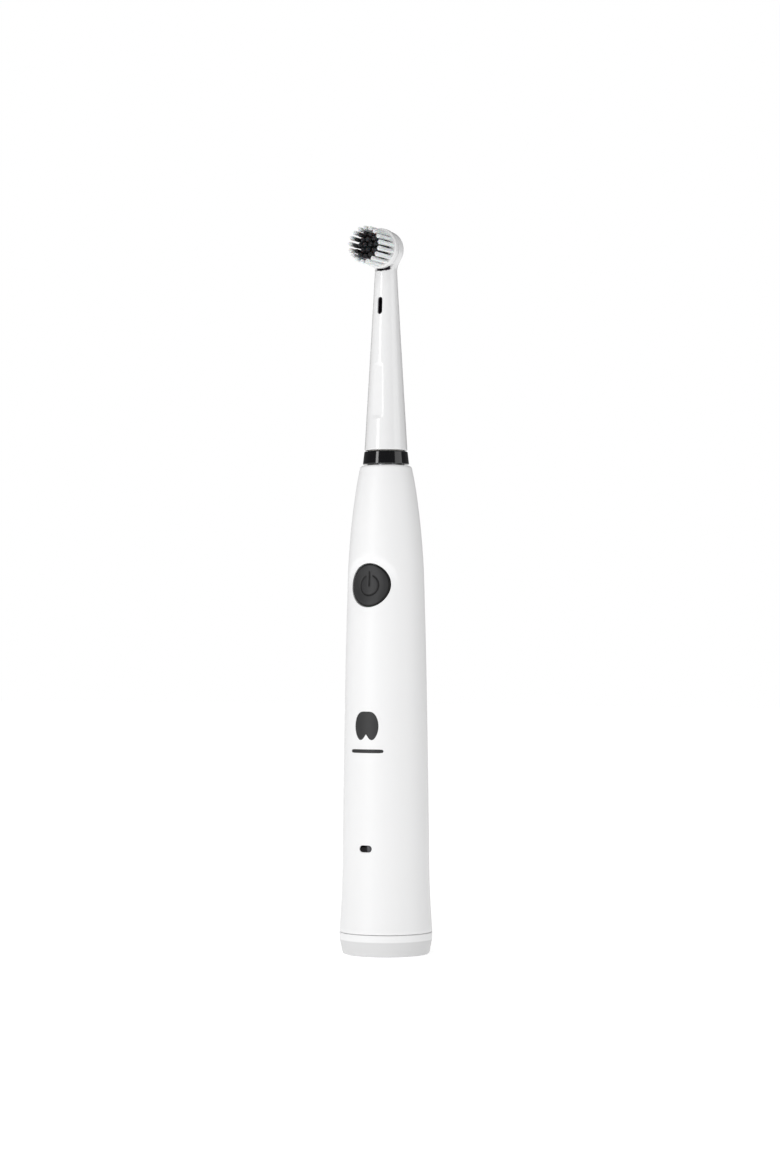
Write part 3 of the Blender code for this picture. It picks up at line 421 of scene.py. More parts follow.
@dataclass(frozen=True)
class CellWrap(Finish):
    """Shrink-wrapped cell: a green sleeve with a silver band round its top."""

    low: float
    high: float
    band_share: float = 0.2

    def paint(self, painter: Painter) -> None:
        """Paint the sleeve and its band."""
        band = painter.axis("Z").above(self.high - self.band_share * (self.high - self.low), 0.1 * MM)
        cloud = painter.noise(200.0, 2.0)
        painter.set("Base Color", painter.mix(band, (0.06, 0.26, 0.14), (0.62, 0.63, 0.65)))
        painter.set("Metallic", band * 0.8)
        painter.set("Roughness", 0.32 + cloud * 0.12)
        painter.bump(cloud, 0.1, 0.0001)


# ---------------------------------------------------------------- mesh helpers

class Shading(Enum):
    """How a piece's faces are shaded, by the angle past which an edge is sharp."""

    SMOOTH = 60.0
    CREASED = 32.0


def shade(mesh: bpy.types.Mesh, shading: Shading) -> None:
    """Shade a mesh smooth, apart from its sharp edges."""
    mesh.shade_smooth()
    mesh.set_sharp_from_angle(angle=math.radians(shading.value))


def build_piece(name: str, points: np.ndarray, faces: np.ndarray | list,
                shading: Shading = Shading.CREASED, merge: float = 0.5e-6) -> bpy.types.Object:
    """Make an object from arrays of points and faces, welded and facing outwards.

    Args:
        name: the piece's name.
        points: an array of n points.
        faces: rows of point numbers.
        shading: how sharp its edges are.
        merge: points closer than this become one.

    Returns:
        The piece.
    """
    mesh = bpy.data.meshes.new(name)
    mesh.from_pydata(points, [], faces.tolist() if isinstance(faces, np.ndarray) else faces)
    work = bmesh.new()
    work.from_mesh(mesh)
    bmesh.ops.remove_doubles(work, verts=work.verts, dist=merge)
    bmesh.ops.dissolve_degenerate(work, edges=work.edges, dist=merge)
    bmesh.ops.recalc_face_normals(work, faces=work.faces)
    work.to_mesh(mesh)
    work.free()
    shade(mesh, shading)
    piece = bpy.data.objects.new(name, mesh)
    bpy.context.scene.collection.objects.link(piece)
    return piece


def cut(piece: bpy.types.Object, cutters: Sequence[bpy.types.Object]) -> bpy.types.Object:
    """Cut solids out of a piece, and remove the cutters.

    Slivers left by the cuts are dissolved, and the small holes they leave are filled.
    """
    for cutter in cutters:
        step = piece.modifiers.new("cut", "BOOLEAN")
        step.operation = "DIFFERENCE"
        step.solver = "EXACT"
        step.object = cutter
    bpy.context.view_layer.update()
    graph = bpy.context.evaluated_depsgraph_get()
    mesh = bpy.data.meshes.new_from_object(piece.evaluated_get(graph))
    piece.modifiers.clear()
    piece.data = mesh
    shade(mesh, Shading.CREASED)
    work = bmesh.new()
    work.from_mesh(mesh)
    bmesh.ops.dissolve_degenerate(work, dist=SLIVER, edges=work.edges)
    bmesh.ops.holes_fill(work, edges=[edge for edge in work.edges if edge.is_boundary], sides=6)
    work.to_mesh(mesh)
    work.free()
    for cutter in cutters:
        bpy.data.objects.remove(cutter, do_unlink=True)
    return piece


def rounded(corners: Sequence[Triple], steps: int, closed: bool) -> np.ndarray:
    """Round the corners of an outline.

    Each corner c, between its neighbours a and b, becomes a quadratic curve from
    c + t(a - c) to c + t(b - c), with one more point just outside each end, so
    that the flats beside it shade flat.

    Args:
        corners: (radius, height, rounding) of each corner.
        steps: segments in a rounding.
        closed: whether the last corner joins the first.

    Returns:
        The points of the outline.
    """
    places = np.array([c[:2] for c in corners])
    count = len(corners)
    found = []
    share = np.linspace(0.0, 1.0, steps + 1)[:, None]
    for number, (_, _, size) in enumerate(corners):
        ends = not closed and number in (0, count - 1)
        here = places[number]
        if size <= 0.0 or ends:
            found.append(here[None, :])
            continue
        back = places[number - 1] - here
        ahead = places[(number + 1) % count] - here
        start = here + back * min(size / np.linalg.norm(back), 0.45)
        stop = here + ahead * min(size / np.linalg.norm(ahead), 0.45)
        arc = (1 - share) ** 2 * start + 2 * share * (1 - share) * here + share ** 2 * stop
        found.append(np.vstack([start + 0.15 * (start - here), arc, stop + 0.15 * (stop - here)]))
    return np.vstack(found)


def angles_round(count: int) -> np.ndarray:
    """Return evenly spaced angles, once round."""
    return np.linspace(0.0, 2 * math.pi, count, endpoint=False)


def turned(name: str, corners: Sequence[Triple], columns: int, closed: bool = False,
           steps: int = 6) -> bpy.types.Object:
    """Turn a rounded outline about Z: each of its points becomes a circle.

    Args:
        name: the piece's name.
        corners: (radius, height, rounding) of each corner. An open outline starts
            and ends on the axis.
        columns: facets round the axis.
        closed: whether the last corner joins the first.
        steps: segments in a rounding.

    Returns:
        The piece.
    """
    outline = rounded(corners, steps, closed)
    angles = angles_round(columns)
    radius = outline[:, 0][:, None]
    height = np.repeat(outline[:, 1][:, None], columns, axis=1)
    points = np.stack([radius * np.cos(angles), radius * np.sin(angles), height], axis=-1).reshape(-1, 3)
    return build_piece(name, points, grid_faces(len(outline), columns, closed))


def grid_faces(rows: int, columns: int, closed: bool) -> np.ndarray:
    """Return a grid's quads. It wraps round in its columns, and in its rows too if closed."""
    index = np.arange(rows * columns).reshape(rows, columns)
    ahead = np.roll(index, -1, axis=1)
    up = np.roll(index, -1, axis=0)
    both = np.roll(ahead, -1, axis=0)
    quads = np.stack([index, ahead, both, up], axis=-1)
    if not closed:
        quads = quads[:-1]
    return quads.reshape(-1, 4)


def turn_to_front(piece: bpy.types.Object, height: float) -> bpy.types.Object:
    """Turn a mesh made about Z so that its axis points to the front at a height."""
    piece.data.transform(Matrix.Translation((0.0, 0.0, height)) @ Matrix.Rotation(math.pi / 2, 4, "X"))
    return piece


def dress(piece: bpy.types.Object, material: bpy.types.Material) -> bpy.types.Object:
    """Give a piece one material."""
    piece.data.materials.clear()
    piece.data.materials.append(material)
    return piece


def enlist(piece: bpy.types.Object, body: str, slot: str, *nodes: str) -> bpy.types.Object:
    """Make a piece ride a body, and stand for CAD nodes."""
    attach(piece, body)
    if nodes:
        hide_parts(*nodes)
    LOG.info("%s rides %s, %d faces", piece.name, body, len(piece.data.polygons))
    return piece


def smooth_step(value: np.ndarray, low: float, high: float) -> np.ndarray:
    """Return 0 below low, 1 above high, and a smooth rise between."""
    share = np.clip((value - low) / (high - low), 0.0, 1.0)
    return share * share * (3.0 - 2.0 * share)


def soft_min(first: np.ndarray, second: np.ndarray, reach: float) -> np.ndarray:
    """Return the smaller of two distances, rounded where they are within reach of each other."""
    share = np.clip(0.5 + 0.5 * (second - first) / reach, 0.0, 1.0)
    return second * (1 - share) + first * share - reach * share * (1 - share)


def soft_max(first: np.ndarray, second: np.ndarray, reach: float) -> np.ndarray:
    """Return the larger of two distances, rounded where they are within reach of each other."""
    return -soft_min(-first, -second, reach)


def node_box(name: str) -> tuple[np.ndarray, np.ndarray]:
    """Return a CAD node's lowest and highest corners."""
    low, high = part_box(name)
    return np.array(low), np.array(high)


def node_middle(name: str) -> tuple[np.ndarray, np.ndarray]:
    """Return the middle of a CAD node's box, and half of the box's size."""
    low, high = node_box(name)
    return (low + high) / 2, (high - low) / 2


# ---------------------------------------------------------------- handle

@dataclass
class Hole:
    """A round-ended hole in the front of the casing, seen from the front."""

    height: float
    reach: float
    radius: float
    columns: int = 0
    rows: tuple[float, float] = (0.0, 0.0)

    def edge(self, angles: np.ndarray, grow: float) -> tuple[np.ndarray, np.ndarray]:
        """Return the points where rays from the hole's middle meet its outline.

        The outline is a slot: two half circles at x = -reach and x = reach, with
        straight lines between. A ray meets the line first, or else the circle.

        Args:
            angles: directions of the rays.
            grow: how far the outline is offset outwards.

        Returns:
            The points' x, and their height.
        """
        radius = self.radius + grow
        along = np.abs(np.cos(angles))
        across = np.maximum(np.abs(np.sin(angles)), 1e-9)
        flat = radius / across
        curve = self.reach * along + np.sqrt(np.maximum(radius ** 2 - (self.reach * across) ** 2, 0.0))
        length = np.where(flat * along <= self.reach, flat, curve)
        return length * np.cos(angles), self.height + length * np.sin(angles)


@dataclass
class Casing:
    """The handle's shell and base cap, with the indicator and the printed mark."""

    wall: float = 2.0 * MM
    edge: float = 0.3 * MM
    columns: int = 192
    shoulder: float = 1.2 * MM
    lower_outline: tuple = ((7.3 * MM, 1.0), (12.3 * MM, 0.977), (22.4 * MM, 0.943),
                            (42.3 * MM, 0.924))
    upper_outline: tuple = ((79.7 * MM, 0.885), (49.7 * MM, 0.843), (29.6 * MM, 0.798),
                            (14.7 * MM, 0.707), (4.7 * MM, 0.612), (0.0, 0.55))
    scoop_depth: float = 0.65 * MM
    scoop_lip: tuple = (0.6 * MM, 3.4 * MM)
    scoop_fade: tuple = (-6.0 * MM, 5.0 * MM)
    print_lift: float = 0.04 * MM
    window_gap: float = 0.05 * MM
    window_sink: float = 0.12 * MM
    window_patch: float = 3.6 * MM
    button_patch: float = 9.2 * MM
    seam: float = 0.12 * MM

    def __post_init__(self) -> None:
        """Read the shell's place from the frame."""
        self.low, self.high = node_box("handle_shell")
        self.widest = self.high[0]
        self.top = self.high[2]
        middle, half = node_middle("power_button")
        self.button_height, self.button_radius = middle[2], half[0]
        middle, half = node_middle("indicator_window")
        self.window_height, self.window_radius = middle[2], half[2]
        self.window_half = node_box("indicator_window")[1][0]

    def radius(self, height: np.ndarray) -> np.ndarray:
        """Return the shell's outer radius: a smooth cubic through the outline's stations.

        The lower stations are heights above the foot, and the upper ones depths
        below the top. Their radii are shares of the widest.
        """
        stations = list(self.lower_outline)
        stations += [(self.top - depth, share) for depth, share in self.upper_outline]
        places = np.array([s[0] for s in stations])
        values = np.array([s[1] for s in stations]) * self.widest
        slopes = np.gradient(values, places)
        height = np.asarray(height, dtype=float)
        i = np.clip(np.searchsorted(places, height) - 1, 0, len(places) - 2)
        span = places[i + 1] - places[i]
        t = np.clip((height - places[i]) / span, 0.0, 1.0)
        start = (1 + 2 * t) * (1 - t) ** 2 * values[i] + t * (1 - t) ** 2 * span * slopes[i]
        end = t ** 2 * (3 - 2 * t) * values[i + 1] + t ** 2 * (t - 1) * span * slopes[i + 1]
        return start + end

    def scoop(self, x: np.ndarray, y: np.ndarray, height: np.ndarray) -> np.ndarray:
        """Return how far the front is pressed in round the button.

        The dish is deepest beside the button and ends in a soft lip. It is full
        depth above the button and fades out below it.
        """
        away = np.hypot(x, height - self.button_height) - self.button_radius
        dish = 1.0 - smooth_step(away, *self.scoop_lip)
        lift = 0.35 + 0.65 * smooth_step(height - self.button_height, *self.scoop_fade)
        return np.where(y < 0.0, self.scoop_depth * dish * lift, 0.0)

    def front(self, x: np.ndarray, height: np.ndarray, inset: float) -> np.ndarray:
        """Return points on the front at x and height, on the surface inset from the outside."""
        radius = self.radius(height) - inset
        y = -np.sqrt(np.maximum(radius ** 2 - x ** 2, 0.0))
        return np.stack([x, y + self.scoop(x, y, height), height], axis=-1)

    def holes(self) -> list[Hole]:
        """Return the button's hole and the window's."""
        reach = self.window_half - self.window_radius
        window_rows = (self.window_height - self.window_patch, self.window_height + self.window_patch)
        button_rows = (self.button_height - self.button_patch, self.button_height + self.button_patch)
        return [Hole(self.window_height, reach, self.window_radius + self.window_gap, 10, window_rows),
                Hole(self.button_height, 0.0, self.button_radius + FIT, 25, button_rows)]

    def row_heights(self, foot: float, crest: float) -> np.ndarray:
        """Return the heights of the grid's rows, with rows on the edges of each hole's patch."""
        stops = [foot]
        for hole in self.holes():
            stops += list(hole.rows)
        stops.append(crest)
        runs = [np.linspace(a, b, max(2, round((b - a) / (1.0 * MM))), endpoint=False)
                for a, b in zip(stops, stops[1:])]
        return np.concatenate(runs + [np.array([crest])])

    def sheet(self, rows: np.ndarray, inset: float, first: int) -> tuple[np.ndarray, list, list]:
        """Make one skin of the shell, with a ring-shaped patch round each hole.

        The skin is a grid of angle and height. Each patch runs in straight lines,
        as seen from the front, from the hole's edge to the grid's own points.

        Args:
            rows: (radius, height) of each row of the grid.
            inset: how far the skin lies inside the outer surface.
            first: the number of its first point.

        Returns:
            Its points, its faces, and the loop of points round each hole.
        """
        angles = np.linspace(-math.pi, math.pi, self.columns, endpoint=False)
        radius, height = rows[:, 0][:, None], np.repeat(rows[:, 1][:, None], self.columns, axis=1)
        x, y = radius * np.sin(angles), -radius * np.cos(angles)
        grid = np.stack([x, y + self.scoop(x, y, height), height], axis=-1)
        index = np.arange(grid.shape[0] * self.columns).reshape(grid.shape[0], self.columns)
        keep = np.ones((grid.shape[0] - 1, self.columns), dtype=bool)
        points, faces, loops = [grid.reshape(-1, 3)], [], []
        count = index.size
        middle = self.columns // 2
        for hole in self.holes():
            low, high = (int(np.argmin(np.abs(rows[:, 1] - stop) + (radius[:, 0] < 0.5 * self.widest)))
                         for stop in hole.rows)
            left, right = middle - hole.columns, middle + hole.columns
            keep[low:high, left:right] = False
            loop = np.concatenate([index[low, left:right], index[low:high, right],
                                   index[high, right:left:-1], index[high:low:-1, left]])
            border = points[0][loop]
            turn = np.arctan2(border[:, 2] - hole.height, border[:, 0])
            fillet = self.edge if inset == 0.0 else 0.0
            near_x, near_z = hole.edge(turn, fillet)
            rings = []
            for share in (1 - np.linspace(0.0, 1.0, 9) ** 0.8)[1:]:
                ring_x = near_x + (border[:, 0] - near_x) * share
                ring_z = near_z + (border[:, 2] - near_z) * share
                rings.append(self.front(ring_x, ring_z, inset))
            for angle in np.linspace(0.0, math.pi / 2, 5)[1:] if fillet else ():
                ring_x, ring_z = hole.edge(turn, fillet * (1 - math.sin(angle)))
                ring = self.front(ring_x, ring_z, inset)
                ring[:, 1] += fillet * (1 - math.cos(angle))
                rings.append(ring)
            ring_index = [loop + first]
            for ring in rings:
                ring_index.append(np.arange(len(loop)) + count + first)
                points.append(ring)
                count += len(loop)
            faces += self.bridge(ring_index)
            loops.append(ring_index[-1])
        beside = np.roll(index, -1, axis=1)
        cells = np.stack([index[:-1], beside[:-1], beside[1:], index[1:]], axis=-1)
        faces += (cells[keep] + first).tolist()
        return np.vstack(points), faces, loops

    @staticmethod
    def bridge(loops: Sequence[np.ndarray]) -> list:
        """Return the quads that join each loop of points to the next."""
        faces = []
        for near, far in zip(loops, loops[1:]):
            faces += np.stack([near, np.roll(near, -1), np.roll(far, -1), far], axis=-1).tolist()
        return faces

    def build_shell(self, material: bpy.types.Material) -> bpy.types.Object:
        """Make the shell: an outer and an inner skin, joined at the holes and at both ends."""
        foot = self.low[2]
        ceiling = self.top - self.wall - FIT
        nose_wall = 0.9 * MM
        nose = node_box("upper_bush")[1][0] + FIT + nose_wall + FIT
        crest = self.top - 4 * self.shoulder
        heights = self.row_heights(foot + self.edge, crest)
        body = np.stack([self.radius(heights), heights], axis=-1)
        rim = float(self.radius(np.array(foot + self.edge)))
        turns = np.linspace(0.0, math.pi / 2, 5)[:-1]
        lower = np.stack([rim - self.edge * (1 - np.sin(turns)),
                          foot + self.edge * (1 - np.cos(turns))], axis=-1)
        upper_z = np.linspace(crest, self.top - self.shoulder, 9)[1:]
        upper = np.stack([self.radius(upper_z), upper_z], axis=-1)
        brow = float(self.radius(np.array(self.top - self.shoulder)))
        turns = np.linspace(0.0, math.pi / 2, 9)[1:]
        shoulder = np.stack([brow - self.shoulder * (1 - np.cos(turns)),
                             self.top - self.shoulder * (1 - np.sin(turns))], axis=-1)
        lip = np.array([[nose + self.edge, self.top], [nose, self.top - self.edge]])
        outer_rows = np.vstack([lower, body, upper, shoulder, lip])
        inner_z = np.linspace(crest, ceiling, 5)[1:]
        inner = np.stack([self.radius(inner_z) - self.wall, inner_z], axis=-1)
        inner_rows = np.vstack([[rim - self.wall, foot], body - np.array([self.wall, 0.0]), inner,
                                [nose, ceiling]])
        outside, faces, outer_loops = self.sheet(outer_rows, 0.0, 0)
        inside, more, inner_loops = self.sheet(inner_rows, self.wall, len(outside))
        faces += more
        for near, far in zip(outer_loops, inner_loops):
            faces += self.bridge([near, far])
        ring = np.arange(self.columns)
        faces += self.bridge([ring, ring + len(outside)])
        top_outer = ring + (len(outer_rows) - 1) * self.columns
        top_inner = ring + len(outside) + (len(inner_rows) - 1) * self.columns
        faces += self.bridge([top_outer, top_inner])
        piece = build_piece("casing_shell", np.vstack([outside, inside]), faces)
        return enlist(dress(piece, material), "handle", "casing_white", "handle_shell")

    def build_cap(self, material: bpy.types.Material) -> bpy.types.Object:
        """Make the base cap, with the recess for a charging post in its foot."""
        high = node_box("base_cap")[1]
        recess, depth, wall = 4.6 * MM, 12.0 * MM, 1.2 * MM
        widest = high[0]
        spigot = float(self.radius(np.array(high[2]))) - self.wall - 0.35 * MM
        seam = self.low[2] - self.seam
        floor, groove_low, groove_high = 2.2 * MM, 9.0 * MM, 11.0 * MM
        corners = ((0.0, high[2], 0.0), (recess + wall, high[2], 0.3 * MM),
                   (recess + wall, floor, 0.3 * MM), (spigot - floor, floor, 0.3 * MM),
                   (spigot - floor, high[2], 0.2 * MM), (spigot, high[2], 0.2 * MM),
                   (spigot, groove_high, 0.1 * MM), (spigot - MM, groove_high, 0.1 * MM),
                   (spigot - MM, groove_low, 0.1 * MM), (spigot, groove_low, 0.1 * MM),
                   (spigot, seam, 0.1 * MM),
                   (widest - 0.02 * MM, seam, 0.3 * MM), (widest - 0.05 * MM, 5.0 * MM, 0.9 * MM),
                   (widest - 1.0 * MM, 0.45 * MM, 0.3 * MM), (widest - 1.45 * MM, 0.0, 0.35 * MM),
                   (widest - 2.6 * MM, 0.0, 0.1 * MM), (widest - 2.9 * MM, 0.25 * MM, 0.1 * MM),
                   (recess + 1.6 * MM, 0.25 * MM, 0.1 * MM), (recess + 1.3 * MM, 0.0, 0.1 * MM),
                   (recess, 0.0, 0.4 * MM), (recess, depth, 0.5 * MM), (0.0, depth, 0.0))
        piece = turned("base_foot_cap", corners, 160)
        return enlist(dress(piece, material), "handle", "base_white", "base_cap")

    def build_window(self, material: bpy.types.Material) -> bpy.types.Object:
        """Make the indicator's lens: a slot-shaped plug with a softly crowned face."""
        columns, back_y = 96, node_box("indicator_window")[1][1] - 0.05 * MM
        hole = Hole(self.window_height, self.window_half - self.window_radius, self.window_radius)
        turn = angles_round(columns)
        edge_x, edge_z = hole.edge(turn, 0.0)
        rings = []
        for share, sink in ((0.0, 0.0), (0.35, 0.0), (0.7, 0.01 * MM), (0.88, 0.04 * MM),
                            (0.96, 0.1 * MM), (1.0, 0.25 * MM)):
            ring_z = self.window_height + (edge_z - self.window_height) * share
            ring = self.front(edge_x * share, ring_z, 0.0)
            ring[:, 1] += self.window_sink + sink
            rings.append(ring)
        rings.append(np.stack([edge_x, np.full(columns, back_y), edge_z], axis=-1))
        rings.append(np.repeat([[0.0, back_y, self.window_height]], columns, axis=0))
        faces = grid_faces(len(rings), columns, False)
        piece = build_piece("indicator_lens", np.vstack(rings), faces)
        return enlist(dress(piece, material), "handle", "window_black", "indicator_window")

    def build_print(self, material: bpy.types.Material) -> None:
        """Make the printed mark: a plain pictogram of a tooth, with a bar below it.

        The tooth's outline is an ellipse in polar form, pressed in at the bottom
        between its roots and a little at the top. Each print is a thin film that
        follows the shell.
        """
        columns, half_width, half_height = 144, 4.3 * MM, 5.7 * MM
        tooth_height, bar_height = 75.6 * MM, 67.4 * MM
        turn = angles_round(columns)
        ellipse = 1.0 / np.hypot(np.cos(turn) / half_width, np.sin(turn) / half_height)
        gap_below = np.exp(-((turn - 1.5 * math.pi) / 0.3) ** 2)
        gap_above = np.exp(-((turn - 0.5 * math.pi) / 0.42) ** 2)
        tooth = ellipse * (1.0 - 0.52 * gap_below - 0.16 * gap_above)
        tooth_x, tooth_z = tooth * np.cos(turn), tooth * np.sin(turn)
        bar_x, bar_z = Hole(0.0, 5.3 * MM, 0.6 * MM).edge(turn, 0.0)
        shares = np.linspace(0.0, 1.0, 13)
        for name, x, z, height in (("print_tooth", tooth_x, tooth_z, tooth_height),
                                   ("print_bar", bar_x, bar_z, bar_height)):
            rings = []
            for order, inset in ((shares, -self.print_lift), (shares[::-1], self.print_lift)):
                rings += [self.front(x * share, height + z * share, inset) for share in order]
            faces = grid_faces(len(rings), columns, False)
            piece = build_piece(name, np.vstack(rings), faces, merge=0.1e-6)
            enlist(dress(piece, material), "handle", "button_charcoal")


@dataclass
class PowerButton:
    """The round button: a dished cap that follows the shell, with an engraved sign."""

    casing: Casing
    sink: float = 0.25 * MM
    dish: float = 0.3 * MM
    rim: float = 0.35 * MM
    engrave: float = 0.2 * MM
    line: float = 0.24 * MM
    ring_radius: float = 3.3 * MM
    bar_foot: float = -0.2 * MM
    bar_head: float = 4.5 * MM
    gap_share: float = 0.36
    rim_share: float = 0.15
    dish_fade: tuple = (0.45, 0.93)
    thickness: float = 1.0 * MM
    columns: int = 256
    rows: int = 110

    def sign(self, x: np.ndarray, z: np.ndarray) -> np.ndarray:
        """Return the strength of the engraved sign: an open ring with a bar in its gap.

        Each stroke is 1 on its middle line, and falls off as e to minus the square
        of the distance in line widths.
        """
        ring = np.abs(np.hypot(x, z) - self.ring_radius)
        ring = np.where((z > 0.0) & (np.abs(x) < self.gap_share * self.ring_radius), 1.0, ring)
        bar = np.hypot(x, z - np.clip(z, self.bar_foot, self.bar_head))
        away = np.minimum(ring, bar) / self.line
        return np.exp(-away ** 2)

    def build(self, material: bpy.types.Material) -> bpy.types.Object:
        """Make the button: rings out from its middle, over the rim and round to the back."""
        low, high = node_box("power_button")
        radius = self.casing.button_radius
        centre = self.casing.button_height
        turn = angles_round(self.columns)
        share = np.linspace(0.0, 1.0, self.rows)[:, None]
        out = (radius - self.rim) * share
        x, z = out * np.cos(turn), out * np.sin(turn)
        face = self.casing.front(x, centre + z, 0.0)
        stroke = self.sign(x, z)
        face[..., 1] += self.sink + self.rim * self.rim_share + self.engrave * stroke
        face[..., 1] += self.dish * (1.0 - smooth_step(share, *self.dish_fade))
        rings = [face.reshape(-1, 3)]
        for angle in np.linspace(0.0, math.pi / 2, 7)[1:]:
            reach = radius - self.rim * (1 - math.sin(angle))
            edge = self.casing.front(reach * np.cos(turn), centre + reach * np.sin(turn), 0.0)
            edge[:, 1] += self.sink + self.rim * (self.rim_share + 1 - math.cos(angle))
            rings.append(edge)
        for reach in (radius, 0.3 * radius, 0.0):
            back = self.casing.front(reach * np.cos(turn), centre + reach * np.sin(turn), 0.0)
            back[:, 1] += self.sink + self.thickness
            rings.append(back)
        points = np.vstack(rings)
        points[:, 1] = np.clip(points[:, 1], low[1], high[1])
        faces = grid_faces(self.rows + len(rings) - 1, self.columns, False)
        piece = build_piece("button_cap", points, faces, Shading.SMOOTH)
        count = len(piece.data.vertices)
        places = np.empty(count * 3)
        piece.data.vertices.foreach_get("co", places)
        places = places.reshape(-1, 3)
        # The material also reads the sign's strength, as painted shade in the grooves.
        strength = self.sign(places[:, 0], places[:, 2] - centre).astype(np.float32)
        piece.data.attributes.new("sign", "FLOAT", "POINT").data.foreach_set("value", strength)
        return enlist(dress(piece, material), "button", "button_charcoal", "power_button")


# ---------------------------------------------------------------- brush head

